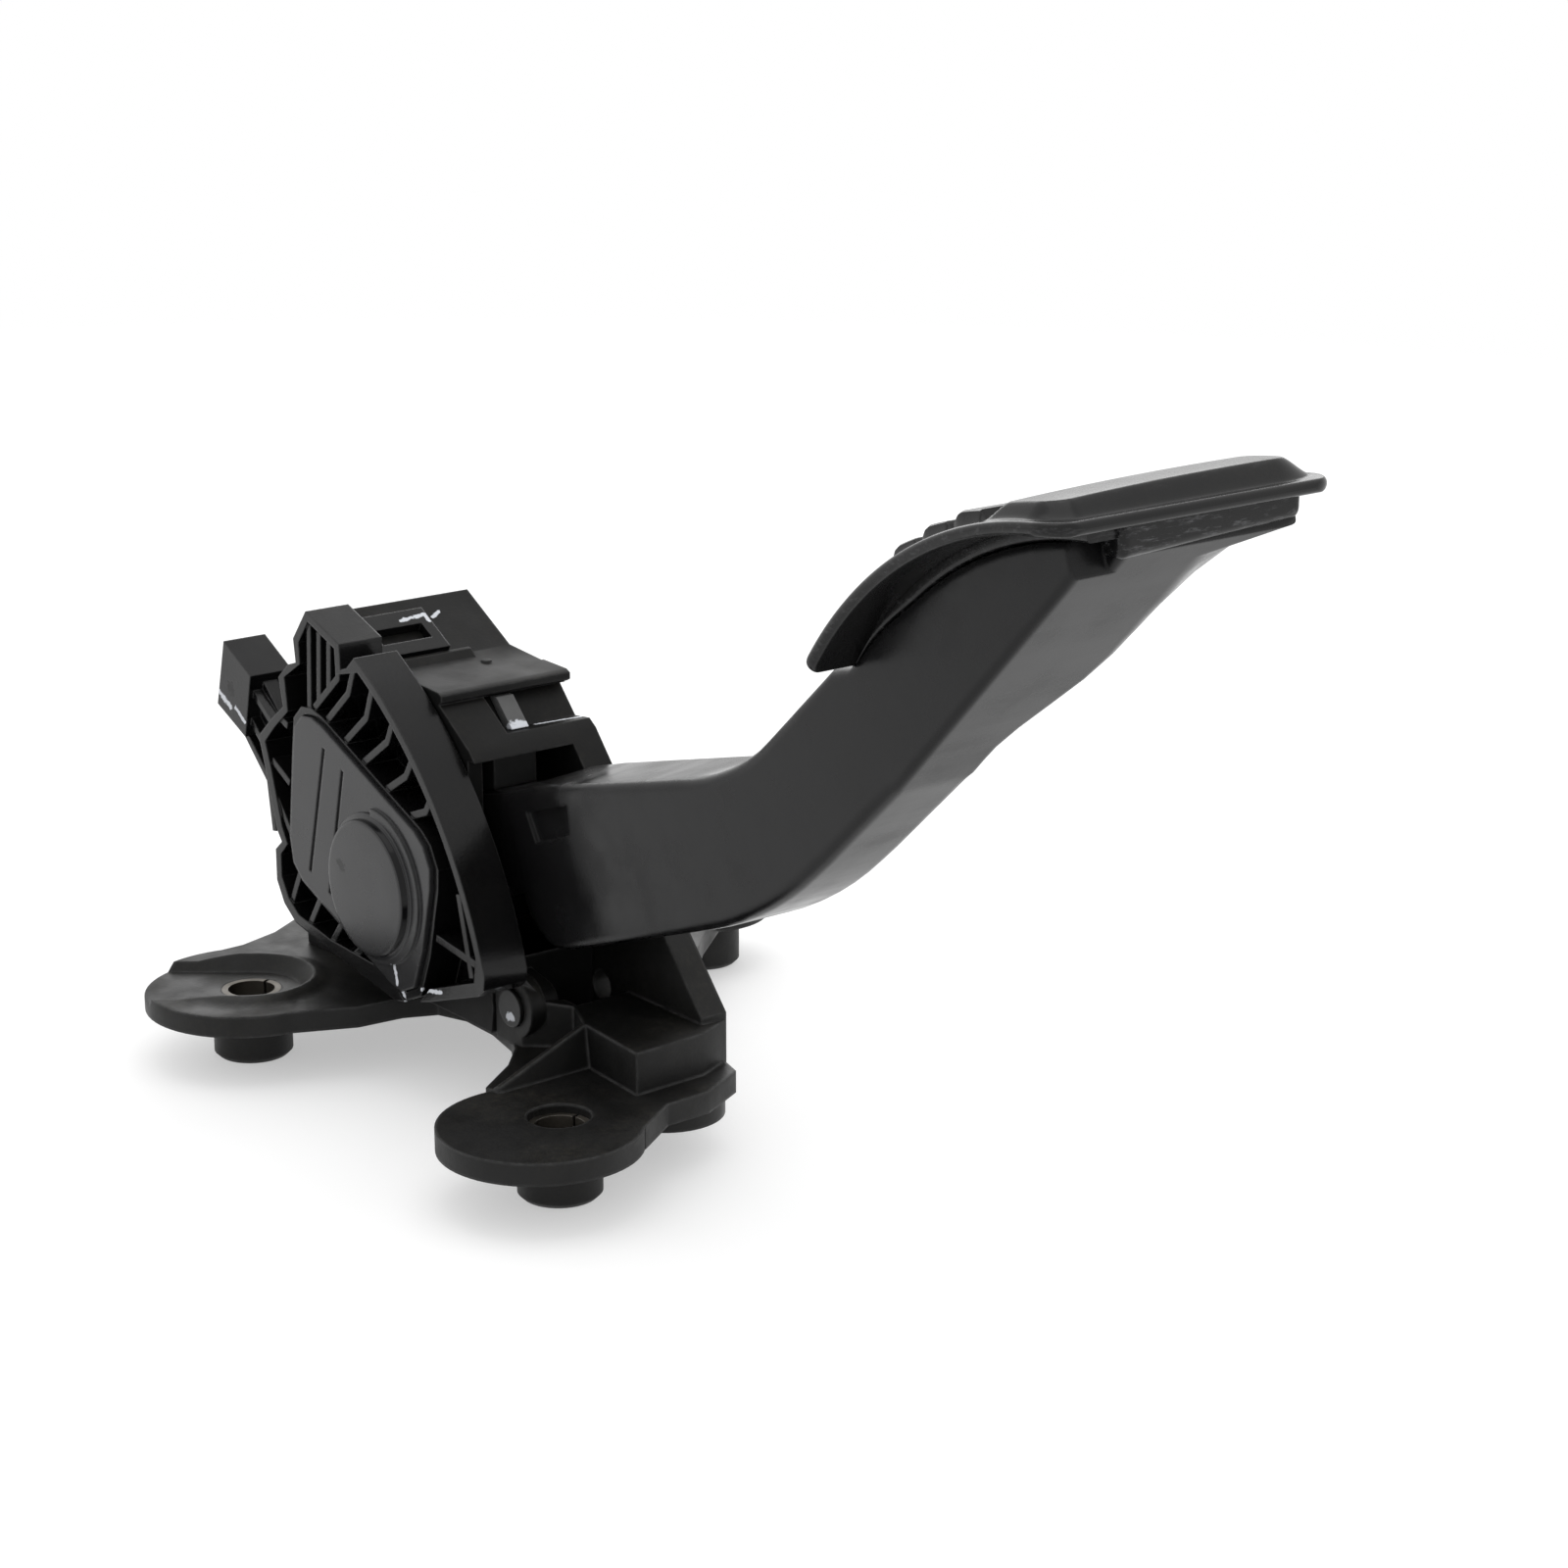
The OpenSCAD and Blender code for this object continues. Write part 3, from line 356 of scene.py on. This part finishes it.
    base = scaled(colour, spread(noise(size=0.012), 1 - mottling, 1 + mottling))
    rough = spread(noise(size=0.009), roughness - blotch, roughness + blotch)
    height = noise(size=grain, detail=2)
    if wave:
        slow = noise(size=0.016, detail=1, rough=0.4)
        height = math_of("ADD", height, math_of("MULTIPLY", slow, wave))
    if streaks:
        band = noise(size=1.0, detail=2, rough=0.5, vector=drawn_out(streaks))
        band_gloss = 0.07
        band_height = 2.5
        rough = math_of("ADD", rough, spread(band, -band_gloss, band_gloss))
        height = math_of("ADD", height, math_of("MULTIPLY", band, band_height))
    if dust:
        turned = nodes.new("ShaderNodeSeparateXYZ")
        links.new(where.outputs["Normal"], turned.inputs[0])
        lies = remap(turned.outputs["Z"], low=-0.2, high=0.9, to_low=0.15, to_high=1.0)
        speck = remap(noise(size=0.0012, detail=5, rough=0.75),
                      low=0.46, high=0.72, to_low=0.15, to_high=1.0)
        patch = remap(noise(size=0.017), low=0.38, high=0.66, to_low=0.1, to_high=1.0)
        amount = math_of("MULTIPLY", math_of("MULTIPLY", speck, patch),
                         math_of("MULTIPLY", lies, dust))
        dusty_rough = 0.25
        base = blend(amount, base, dust_colour)
        rough = math_of("ADD", rough, math_of("MULTIPLY", amount, dusty_rough))
    if wear:
        worn = nodes.new("ShaderNodeAttribute")
        worn.attribute_name = wear
        scratch = remap(noise(size=1.0, detail=5, rough=0.72, vector=drawn_out(scuff_scale)),
                        low=0.52, high=0.72, to_low=0.0, to_high=1.0)
        scuff = math_of("MULTIPLY", worn.outputs["Fac"], scratch)
        scuffed_rough = 0.15
        base = blend(scuff, base, scuff_colour)
        rough = math_of("ADD", rough, math_of("MULTIPLY", scuff, scuffed_rough))
    if edge:
        rounded = nodes.new("ShaderNodeBevel")
        rounded.samples = 4
        rounded.inputs["Radius"].default_value = edge
        facing = nodes.new("ShaderNodeNewGeometry")
        agree = vector_math("DOT_PRODUCT", rounded.outputs["Normal"], facing.outputs["Normal"])
        patchy = remap(noise(size=0.003, detail=3, rough=0.6),
                       low=0.35, high=0.65, to_low=0.35, to_high=1.0)
        # Edges are painted lighter, partly as wear from rubbing and partly as a painted highlight.
        on_edge = remap(agree.outputs["Value"], low=0.98, high=0.8, to_low=0.0, to_high=edge_wear_and_highlight)
        worn_and_highlighted_edge = math_of("MULTIPLY", on_edge, patchy)
        rubbed_smooth = 0.08
        base = blend(worn_and_highlighted_edge, base, worn_and_highlighted_metal if metal else worn_and_highlighted_plastic)
        rough = math_of("SUBTRACT", rough, math_of("MULTIPLY", worn_and_highlighted_edge, rubbed_smooth))
    for start, end, width, mark_colour in marks:
        covered = stroke(start, end, width)
        painted_rough = 0.2
        base = blend(covered, base, mark_colour)
        rough = math_of("ADD", rough, math_of("MULTIPLY", covered, painted_rough))
    links.new(base, skin.inputs["Base Color"])
    links.new(rough, skin.inputs["Roughness"])
    bump = nodes.new("ShaderNodeBump")
    bump.inputs["Strength"].default_value = 1.0
    bump.inputs["Distance"].default_value = grain_bump
    links.new(height, bump.inputs["Height"])
    if edge:
        links.new(rounded.outputs["Normal"], bump.inputs["Normal"])
    links.new(bump.outputs["Normal"], skin.inputs["Normal"])
    return paint


dress("base_bracket", plastic(
    "bracket_nylon", (0.0042, 0.0042, 0.0041), 0.50, gloss=0.27, mottling=0.4, blotch=0.11,
    grain_bump=0.00003, wave=22, dust=0.2, edge=0.0009, edge_wear_and_highlight=0.9))

# Sleeves
# A sleeve rolled from zinc-plated sheet steel, with a slit down one side, is
# pressed into each foot and carries the clamping load of the bolt.
# The zinc colour is set dark as painted shade, for the bolt holes that the sleeves line.
shaded_sleeve_paint = plastic("zinc_plate_painted_dark", (0.11, 0.10, 0.085), 0.5, metal=1.0, mottling=0.3,
                       blotch=0.1, edge=0.0002, edge_wear_and_highlight=0.3)
for sleeve in ("bolt_sleeve_1", "bolt_sleeve_2", "bolt_sleeve_3"):
    dress(sleeve, shaded_sleeve_paint)

# Housing
# The housing is one nylon moulding with a flat sloping roof, a recess for the
# latch and two cheeks that carry the shaft. Marker paint shows it was tested.
marker_white = (0.62, 0.64, 0.68)
dress("pedal_housing", plastic(
    "housing_nylon", (0.0042, 0.0042, 0.0042), 0.50, gloss=0.16, wave=10, dust=0.10,
    edge=0.0006, edge_wear_and_highlight=0.7,
    marks=[((40.9, 37.2, 66.0), (42.0, 46.2, 66.0), 0.9, marker_white),
           ((10.0, 35.6, 79.9), (8.9, 37.6, 80.5), 0.7, marker_white)]))
dress("housing_pin", plastic(
    "pin_nylon", (0.004, 0.004, 0.004), 0.25, dust=0.1, edge=0.0004,
    marks=[((57.0, 19.2, 18.9), (58.3, 19.2, 19.3), 1.3, marker_white)]))
dress("latch_tongue", plastic(
    "tongue_nylon", (0.085, 0.085, 0.085), 0.45, mottling=0.4, edge=0.0003,
    marks=[((41.9, 31.0, 66.6), (42.3, 34.4, 66.6), 1.9, marker_white)]))
dress("idle_stop", plastic(
    "stop_rubber", (0.008, 0.008, 0.008), 0.62, grain=0.0003, edge=0.0006))

# Cover
# The sensor cover is a thin ribbed moulding, snapped over the roof by its
# looped strap. Its curved band is smoother than the housing.
# Black paint on the connector is painted shade that stands in for a small hole.
painted_hole_shade = (0.004, 0.004, 0.004)
dress("sensor_cover", plastic(
    "cover_nylon", (0.0034, 0.0034, 0.0037), 0.22, gloss=0.27, wave=8, dust=0.05,
    edge=0.0004, edge_wear_and_highlight=0.7,
    marks=[((36.6, 10.0, 21.2), (38.0, 10.0, 18.0), 1.0, marker_white),
           ((43.4, 10.0, 22.2), (49.8, 10.0, 23.4), 0.7, marker_white),
           ((-31.0, 13.0, 61.0), (-26.6, 13.0, 58.7), 1.0, marker_white),
           ((-24.6, 13.0, 58.9), (-21.4, 13.0, 56.8), 0.8, marker_white),
           ((12.2, 27.4, 80.9), (11.7, 32.6, 81.1), 0.8, marker_white),
           ((11.7, 32.8, 81.1), (13.3, 32.8, 80.3), 0.7, marker_white),
           ((-26.2, 13.0, 62.4), (-25.6, 13.0, 62.0), 2.2, painted_hole_shade)]))

# Lid
# The satin lid is bonded into the cover over the electronics. Its round boss stands over the
# rotor with a stepped, polished wall, whose colour is painted darker than the lid as painted
# shade.
gate_grey = (0.012, 0.012, 0.012)
lid_paint = plastic(
    "lid_nylon", (0.018, 0.018, 0.019), 0.25, gloss=0.36, grain_bump=0.000008,
    edge=0.0006, edge_wear_and_highlight=0.35,
    marks=[((35.6, 9.2, 25.2), (36.5, 9.2, 21.6), 0.8, marker_white),
           ((21.4, 7.2, 40.8), (22.2, 7.2, 40.2), 1.9, gate_grey)])
dress("sensor_lid", lid_paint)

boss_centre = (0.0295, 0.0380)
boss_steps = 128
# Radius and depth in millimetres, from the middle of the face round the wall to the back.
boss_profile = np.array([
    (0.0, 7.15), (6.0, 7.15), (11.7, 7.17), (12.1, 7.2), (12.35, 7.3), (12.48, 7.5),
    (12.52, 8.3), (12.62, 8.46), (12.85, 8.52), (13.3, 8.54), (13.55, 8.66), (13.65, 9.35),
    (12.0, 9.5), (0.0, 9.5)]) / 1000
wall_from = 0.0123
wall_to = 0.0127


def boss_surface():
    """Surface of revolution: each profile point (radius, depth) is turned about the boss axis,
    which runs along Y. The two points on the axis close it."""
    turn = np.linspace(0, 2 * np.pi, boss_steps + 1)[:-1]
    radius, depth = boss_profile[:, 0:1], boss_profile[:, 1:2]
    return np.stack([boss_centre[0] + radius * np.cos(turn), depth + 0 * turn,
                     boss_centre[1] + radius * np.sin(turn)], -1)


def grid_faces(rows, around):
    """Quads between the rows of a grid whose rows are closed loops."""
    row = np.arange(rows - 1)[:, None] * around
    here = np.arange(around)[None, :]
    following = (here + 1) % around
    corners = [row + here, row + following, row + around + following, row + around + here]
    return np.stack(corners, -1).reshape(-1, 4)


def sealed_piece(name, points, faces, wear=None):
    """Makes a smooth-shaded object from grid points and faces, with doubled points merged and
    faces outwards. Wear, where given, is one value for each point."""
    mesh = bpy.data.meshes.new(name)
    mesh.from_pydata(points.tolist(), [], faces.tolist())
    if wear is not None:
        mesh.attributes.new("wear", "FLOAT", "POINT").data.foreach_set(
            "value", wear.astype(np.float32))
    shell = bmesh.new()
    shell.from_mesh(mesh)
    bmesh.ops.remove_doubles(shell, verts=shell.verts, dist=weld_gap)
    bmesh.ops.recalc_face_normals(shell, faces=shell.faces)
    shell.to_mesh(mesh)
    shell.free()
    mesh.polygons.foreach_set("use_smooth", np.ones(len(mesh.polygons), dtype=bool))
    piece = bpy.data.objects.new(name, mesh)
    scene.collection.objects.link(piece)
    return piece


lid_boss = sealed_piece(
    "lid_boss", boss_surface().reshape(-1, 3), grid_faces(len(boss_profile), boss_steps))
lid_boss.data.materials.append(lid_paint)
# The boss wall takes a darker copy of the lid finish: the darker colour is painted shade.
lid_boss.data.materials.append(plastic(
    "lid_wall_painted_shade", (0.004, 0.004, 0.0045), 0.15, gloss=0.2, blotch=0.02, grain_bump=0.000004, edge=0))
boss_middles = np.empty(len(lid_boss.data.polygons) * 3)
lid_boss.data.polygons.foreach_get("center", boss_middles)
boss_middles = boss_middles.reshape(-1, 3)
from_axis = np.hypot(boss_middles[:, 0] - boss_centre[0], boss_middles[:, 2] - boss_centre[1])
on_wall = (from_axis > wall_from) & (from_axis < wall_to)
lid_boss.data.polygons.foreach_set("material_index", on_wall.astype(np.int32))
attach(lid_boss, "base")

dress("lid_seal", plastic("seal_rubber", (0.012, 0.012, 0.012), 0.6, grain=0.0004, edge=0))

# Sensor
# Behind the lid a small green circuit board reads the magnet in the rotor,
# which sits on the end of the shaft. Brass terminals reach into the socket.
dress("circuit_board", plastic(
    "board_laminate", (0.012, 0.075, 0.034), 0.36, mottling=0.35, grain=0.0012, edge=0))
dress("connector_terminals", plastic(
    "tinned_brass", (0.62, 0.50, 0.26), 0.3, metal=1.0, mottling=0.2, grain=0.0004, edge=0))
dress("sensor_rotor", plastic(
    "rotor_nylon", (0.46, 0.45, 0.40), 0.5, grain=0.0007, edge=0))
dress("sensor_magnet", plastic(
    "magnet_ferrite", (0.055, 0.055, 0.06), 0.5, metal=0.4, mottling=0.3, edge=0))

# Shaft
# A ground steel shaft turns in two natural-coloured plastic bushes that are
# pressed into the cheeks.
dress("pivot_shaft", plastic(
    "ground_steel", (0.50, 0.50, 0.51), 0.24, metal=1.0, mottling=0.1, grain=0.0003,
    streaks=(1500, 40, 1500), edge=0.0004, edge_wear_and_highlight=0.2))
bush_paint = plastic("bush_plastic", (0.55, 0.52, 0.40), 0.45, mottling=0.12, edge=0)
for bush in ("pivot_bush_near", "pivot_bush_far"):
    dress(bush, bush_paint)

# Springs
# Two nested coils of oiled spring steel push the tail of the arm down. They
# stand in a moulded cup, and a fibre-filled shoe under the hub adds friction.
spring_paint = plastic("spring_steel", (0.33, 0.33, 0.35), 0.3, metal=1.0, mottling=0.25,
                       grain=0.0004, edge=0)
coil_steps = 32
wire_sides = 10
closed_rise = 2.04


def coil_grid(low, high, coil_radius, wire_radius, turns):
    """Closed loops of the wire's round section, one for each station along the coil, which
    stands in the box from low to high. The angle grows evenly. The height grows by just over one
    wire thickness in the first and the last turn, which lie closed, and evenly between them.
    Both ends are drawn in to a point."""
    centre = (low + high) / 2
    share = np.linspace(0, 1, int(turns * coil_steps) + 1)
    share = np.concatenate([share[:1], share, share[-1:]])
    closed = closed_rise * wire_radius
    reach = high[2] - low[2] - 2 * wire_radius
    height = low[2] + wire_radius + np.interp(
        share, [0, 1 / turns, 1 - 1 / turns, 1], [0, closed, reach - closed, reach])
    size = np.full(len(share), wire_radius)
    size[[0, -1]] = 0
    turned = 2 * np.pi * turns * share
    around = np.linspace(0, 2 * np.pi, wire_sides + 1)[:-1]
    out = coil_radius + size[:, None] * np.cos(around)
    return np.stack([centre[0] + out * np.cos(turned)[:, None],
                     centre[1] + out * np.sin(turned)[:, None],
                     height[:, None] + size[:, None] * np.sin(around)], -1)


for coil_name, node, coil_radius, wire_radius, turns in (
        ("spring_outer_wire", "return_spring_outer", 0.0056, 0.0008, 6.5),
        ("spring_inner_wire", "return_spring_inner", 0.0032, 0.00055, 8.5)):
    spring_low, spring_high = np.array(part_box(node))
    wire_points = coil_grid(spring_low, spring_high, coil_radius, wire_radius, turns)
    spring_wire = sealed_piece(
        coil_name, wire_points.reshape(-1, 3), grid_faces(*wire_points.shape[:2]))
    spring_wire.data.materials.append(spring_paint)
    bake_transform(spring_wire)
    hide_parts(node)
dress("spring_cup", plastic("cup_plastic", (0.56, 0.54, 0.47), 0.45, mottling=0.12, edge=0))
dress("friction_shoe", plastic(
    "shoe_fibre", (0.17, 0.13, 0.075), 0.7, mottling=0.35, grain=0.0008, grain_bump=0.00006,
    edge=0))

# Arm
# The arm is a hollow nylon moulding with a satin skin. Its underside shows
# faint bands across it where the melt flowed, and its long edges are rolled.
dress("pedal_arm", plastic(
    "arm_nylon", (0.0066, 0.0066, 0.0070), 0.23, gloss=0.20, mottling=0.12,
    grain_bump=0.000010, streaks=(140, 14, 140), dust=0.05, edge=0.0008, edge_wear_and_highlight=0.25))

# Pad
# The pad is moulded in black rubber over the end of the arm: a thin rim with
# a rolled edge, a raised platform at the toe, and three grip ridges behind it.
# Its angles are in degrees about the centre of its arc, where 90 is straight up.
pad_centre = (0.2040, 0.0650)
rim_low = 0.06615
rim_thick = 0.00215
heel_angle = 147.2
toe_angle = 91.0
near_edge = 0.0138
far_edge = 0.0702
toe_corner = 0.0055
heel_corner = 0.0026
heel_round = 0.0007

platform_from_toe = 0.0021
platform_from_side = 0.0016
platform_to_heel = 0.0170
platform_near_corner = 0.0060
platform_far_corner = 0.0040
platform_ramp = 0.0026
platform_heel_ramp = 0.0033
platform_height = 0.0021
platform_far_rise = 0.0009
platform_crown = 0.0005
platform_far_slope = 0.5
platform_eased = 0.4
platform_edge_width = 0.25

# A ridge starts at its angle. Its turns are degrees from there towards the toe, and its levels
# are shares of the ridge height.
ridge_height = 0.0024
ridge_starts = (127.0, 120.5, 114.0)
ridge_turns = [0.0, 0.5, 1.5, 2.4, 5.6, 6.3]
ridge_levels = [0.0, 0.5, 0.93, 1.0, 0.76, 0.0]
ridge_from_near = 0.0040
ridge_from_far = 0.0050
ridge_end_run = 0.0009


def ease(t):
    """Smooth step: 3 t^2 - 2 t^3 with t held between 0 and 1."""
    t = np.clip(t, 0.0, 1.0)
    return t * t * (3 - 2 * t)


def inset_corner(along, across, radius):
    """Distance inside two edges that meet in a rounded corner: the smaller of the two distances,
    or within the corner the radius less the distance from its centre."""
    in_corner = (along < radius) & (across < radius)
    return np.where(in_corner, radius - np.hypot(radius - along, radius - across),
                    np.minimum(along, across))


def pad_relief(angle, y):
    """Height above the rim: the platform is the least of its edge ramps, part straight and part
    eased, and rises a little towards the far side and the middle. Its far ramp is longer than
    the near one. Each ridge rises steeply on its heel side and runs out towards the toe. The
    second result is 1 along the platform's upper edge and falls off beside it."""
    from_toe = np.radians(angle - toe_angle) * (rim_low + rim_thick)
    across = (y - near_edge) / (far_edge - near_edge)
    past_toe = from_toe - platform_from_toe
    past_near = y - near_edge - platform_from_side
    past_far = (far_edge - platform_from_side - y) * platform_far_slope
    near_ramp = inset_corner(past_toe, past_near, platform_near_corner) / platform_ramp
    far_ramp = inset_corner(past_toe, past_far, platform_far_corner) / platform_ramp
    heel_ramp = (platform_to_heel - from_toe) / platform_heel_ramp
    ramp = np.minimum(np.minimum(near_ramp, far_ramp), heel_ramp)
    lift = (1 - platform_eased) * np.clip(ramp, 0, 1) + platform_eased * ease(ramp)
    platform = lift * (platform_height + platform_far_rise * across
                       + platform_crown * (1 - (2 * across - 1) ** 2))
    ends = (ease((y - near_edge - ridge_from_near) / ridge_end_run)
            * ease((far_edge - ridge_from_far - y) / ridge_end_run))
    ridges = np.zeros_like(angle)
    for start in ridge_starts:
        ridges = np.maximum(ridges, np.interp(start - angle, ridge_turns, ridge_levels))
    edge_line = np.exp(-((ramp - 1.0) / platform_edge_width) ** 2) * (ramp > 0)
    return np.maximum(platform, ridge_height * ridges * ends), edge_line


def quarter_pull(radius, left):
    """How far a rounded end draws the edge in, at the distance left to the end: the radius less
    the height of a quarter circle, and nothing past the radius."""
    return radius - np.sqrt(np.maximum(radius ** 2 - np.maximum(radius - left, 0) ** 2, 0))


# How scuffed the pad is, from 0 to 1: on the rolled edge, along the platform's upper edge, on
# the body and on the skirt.
rolled_wear = 0.35
edge_line_wear = 0.21
body_wear = 0.35
skirt_wear = 0.85


def rim_grid():
    """Closed loops across the rim, one for each station from heel to toe. A loop runs over the
    top, round the far edge, back below and round the near edge. Half the width shrinks at the
    corners as a quarter circle. The thickness shrinks as a half circle at the toe, and less a
    small quarter circle at the cut heel."""
    middle = rim_low + rim_thick / 2
    span = np.radians(heel_angle - toe_angle) * middle
    toe_stations, heel_stations, even_stations = 8, 5, 230
    toe_curl = rim_thick / 2 * (1 - np.cos(np.linspace(0, np.pi / 2, toe_stations)))
    heel_curl = heel_round * (1 - np.cos(np.linspace(0, np.pi / 2, heel_stations)))
    inner = np.linspace(heel_round, span - rim_thick / 2, even_stations)[1:-1]
    from_heel = np.concatenate([[0.0], heel_curl, inner, span - toe_curl[::-1]])
    from_toe = span - from_heel
    half = (0.5 * (far_edge - near_edge) - quarter_pull(toe_corner, from_toe)
            - quarter_pull(heel_corner, from_heel))
    end_gap = np.minimum(from_toe / (rim_thick / 2), 1.0)
    thick = rim_thick * np.sqrt(np.maximum(1 - (1 - end_gap) ** 2, 0))
    thick = thick - 2 * quarter_pull(heel_round, from_heel)
    thick[0] = 0
    over, under, curl = 120, 40, 8
    round_part = np.linspace(np.pi / 2, -np.pi / 2, curl + 2)[1:-1]
    side = np.concatenate([np.linspace(-1, 1, over), np.ones(curl),
                           np.linspace(1, -1, under), -np.ones(curl)])
    bulge = np.concatenate([np.zeros(over), np.cos(round_part),
                            np.zeros(under), -np.cos(round_part[::-1])])
    level = np.concatenate([np.ones(over), np.sin(round_part),
                            -np.ones(under), np.sin(round_part[::-1])])
    y = (0.5 * (near_edge + far_edge) + side[None, :] * (half - thick / 2)[:, None]
         + bulge[None, :] * (thick / 2)[:, None])
    angle = np.repeat((heel_angle - np.degrees(from_heel / middle))[:, None], y.shape[1], 1)
    relief, edge_line = pad_relief(angle, y)
    top = np.concatenate([np.ones(over), np.zeros(curl + under + curl)])[None, :]
    radius = middle + level[None, :] * (thick / 2)[:, None] + relief * top
    points = np.stack([pad_centre[0] + radius * np.cos(np.radians(angle)), y,
                       pad_centre[1] + radius * np.sin(np.radians(angle))], -1)
    rolled = (rolled_wear * np.abs(bulge) ** 2)[None, :] * np.ones((len(from_heel), 1))
    return points, np.maximum(rolled, edge_line_wear * edge_line * top)


body_heel_angle = 147.4
body_toe_angle = 94.0
body_near = 0.0229
body_far = 0.0646
body_corner = 0.0008
body_into_rim = 0.0006
seat_radius = 0.0659
seat_step = 0.0017
seat_step_angle = 144.8
seat_step_run = 16


def body_grid():
    """Closed loops of a rounded rectangle between the seat on the arm and the rim, one for each
    station. The seat radius lessens by the seat step, which eases in over its run of degrees
    from the heel."""
    stations, corner_points = 120, 6
    angle = np.linspace(body_heel_angle, body_toe_angle, stations)
    seat = seat_radius - seat_step * ease((seat_step_angle - angle) / seat_step_run)
    roof = np.full_like(angle, rim_low + body_into_rim)
    turn = np.linspace(0, np.pi / 2, corner_points)
    near, far = body_near + body_corner, body_far - body_corner
    side = np.concatenate([far + body_corner * np.cos(turn), near - body_corner * np.sin(turn),
                           near - body_corner * np.cos(turn), far + body_corner * np.sin(turn)])
    level = np.concatenate([np.ones(2 * corner_points), -np.ones(2 * corner_points)])
    push = np.concatenate([np.sin(turn), np.cos(turn), -np.sin(turn), -np.cos(turn)])
    middle = (seat + roof)[:, None] / 2
    tall = (roof - seat)[:, None] / 2
    radius = (middle + level[None, :] * np.maximum(tall - body_corner, 0)
              + push[None, :] * np.minimum(tall, body_corner))
    y = np.repeat(side[None, :], len(angle), 0)
    radius = np.concatenate([np.repeat(middle[:1], len(side), 1), radius,
                             np.repeat(middle[-1:], len(side), 1)])
    y = np.concatenate([y[:1], y, y[-1:]])
    angle = np.concatenate([angle[:1], angle, angle[-1:]])
    return np.stack([pad_centre[0] + radius * np.cos(np.radians(angle))[:, None], y,
                     pad_centre[1] + radius * np.sin(np.radians(angle))[:, None]], -1)


skirt_near = 0.0286
skirt_far = 0.0641
skirt_end_round = 0.0012
skirt_back = 0.1968
skirt_front = 0.2008
skirt_roof = 0.1322
skirt_shoulder_in = 0.0012
skirt_shoulder_z = 0.1312
skirt_low = 0.1259
skirt_rise = 0.0015
skirt_corner = 0.0015


def skirt_grid():
    """Closed loops of the skirt that hangs over the toe end of the arm, one for each station
    along Y. Its front lower corner is rounded, its lower edge rises towards the far side, and
    both ends are drawn in as a quarter circle."""
    end_stations, even_stations, corner_points = 7, 60, 9
    curl = skirt_end_round * (1 - np.cos(np.linspace(0, np.pi / 2, end_stations)))
    inner = np.linspace(skirt_near + skirt_end_round, skirt_far - skirt_end_round, even_stations)
    y = np.concatenate([skirt_near + curl, inner[1:-1], skirt_far - curl[::-1]])
    pull = quarter_pull(skirt_end_round, np.minimum(y - skirt_near, skirt_far - y))
    low = (skirt_low + skirt_rise * (y - skirt_near) / (skirt_far - skirt_near) + pull)[:, None]
    front = (skirt_front - pull)[:, None]
    turn = np.linspace(0, np.pi / 2, corner_points)[None, :]
    back = np.full_like(front, skirt_back)
    roof = np.full_like(front, skirt_roof)
    x = np.concatenate([back, front - skirt_shoulder_in, front,
                        front - skirt_corner + skirt_corner * np.cos(turn), back], 1)
    z = np.concatenate([roof, roof, np.full_like(front, skirt_shoulder_z),
                        low + skirt_corner - skirt_corner * np.sin(turn), low], 1)
    points = np.stack([x, np.repeat(y[:, None], x.shape[1], 1), z], -1)
    middle = points.mean(1, keepdims=True)
    return np.concatenate([np.repeat(middle[:1], x.shape[1], 1), points,
                           np.repeat(middle[-1:], x.shape[1], 1)])


rim_points, rim_wear = rim_grid()
pad_points, pad_faces, pad_wear, used = [], [], [], 0
for sheet, worn in ((rim_points, rim_wear), (body_grid(), body_wear), (skirt_grid(), skirt_wear)):
    pad_faces.append(grid_faces(*sheet.shape[:2]) + used)
    pad_points.append(sheet.reshape(-1, 3))
    pad_wear.append((np.zeros(sheet.shape[:2]) + worn).reshape(-1))
    used += sheet.shape[0] * sheet.shape[1]
pad = sealed_piece("pad_cover", np.concatenate(pad_points), np.concatenate(pad_faces),
                   wear=np.concatenate(pad_wear))
pad.data.materials.append(plastic(
    "pad_rubber", (0.0060, 0.0060, 0.0062), 0.25, gloss=0.27, mottling=0.2, grain=0.0005,
    grain_bump=0.000012, dust=0.06, wear="wear", edge=0))
pad_sharp_angle = math.radians(38)
pad.data.set_sharp_from_angle(angle=pad_sharp_angle)
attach(pad, "pedal")
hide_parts("pedal_pad")
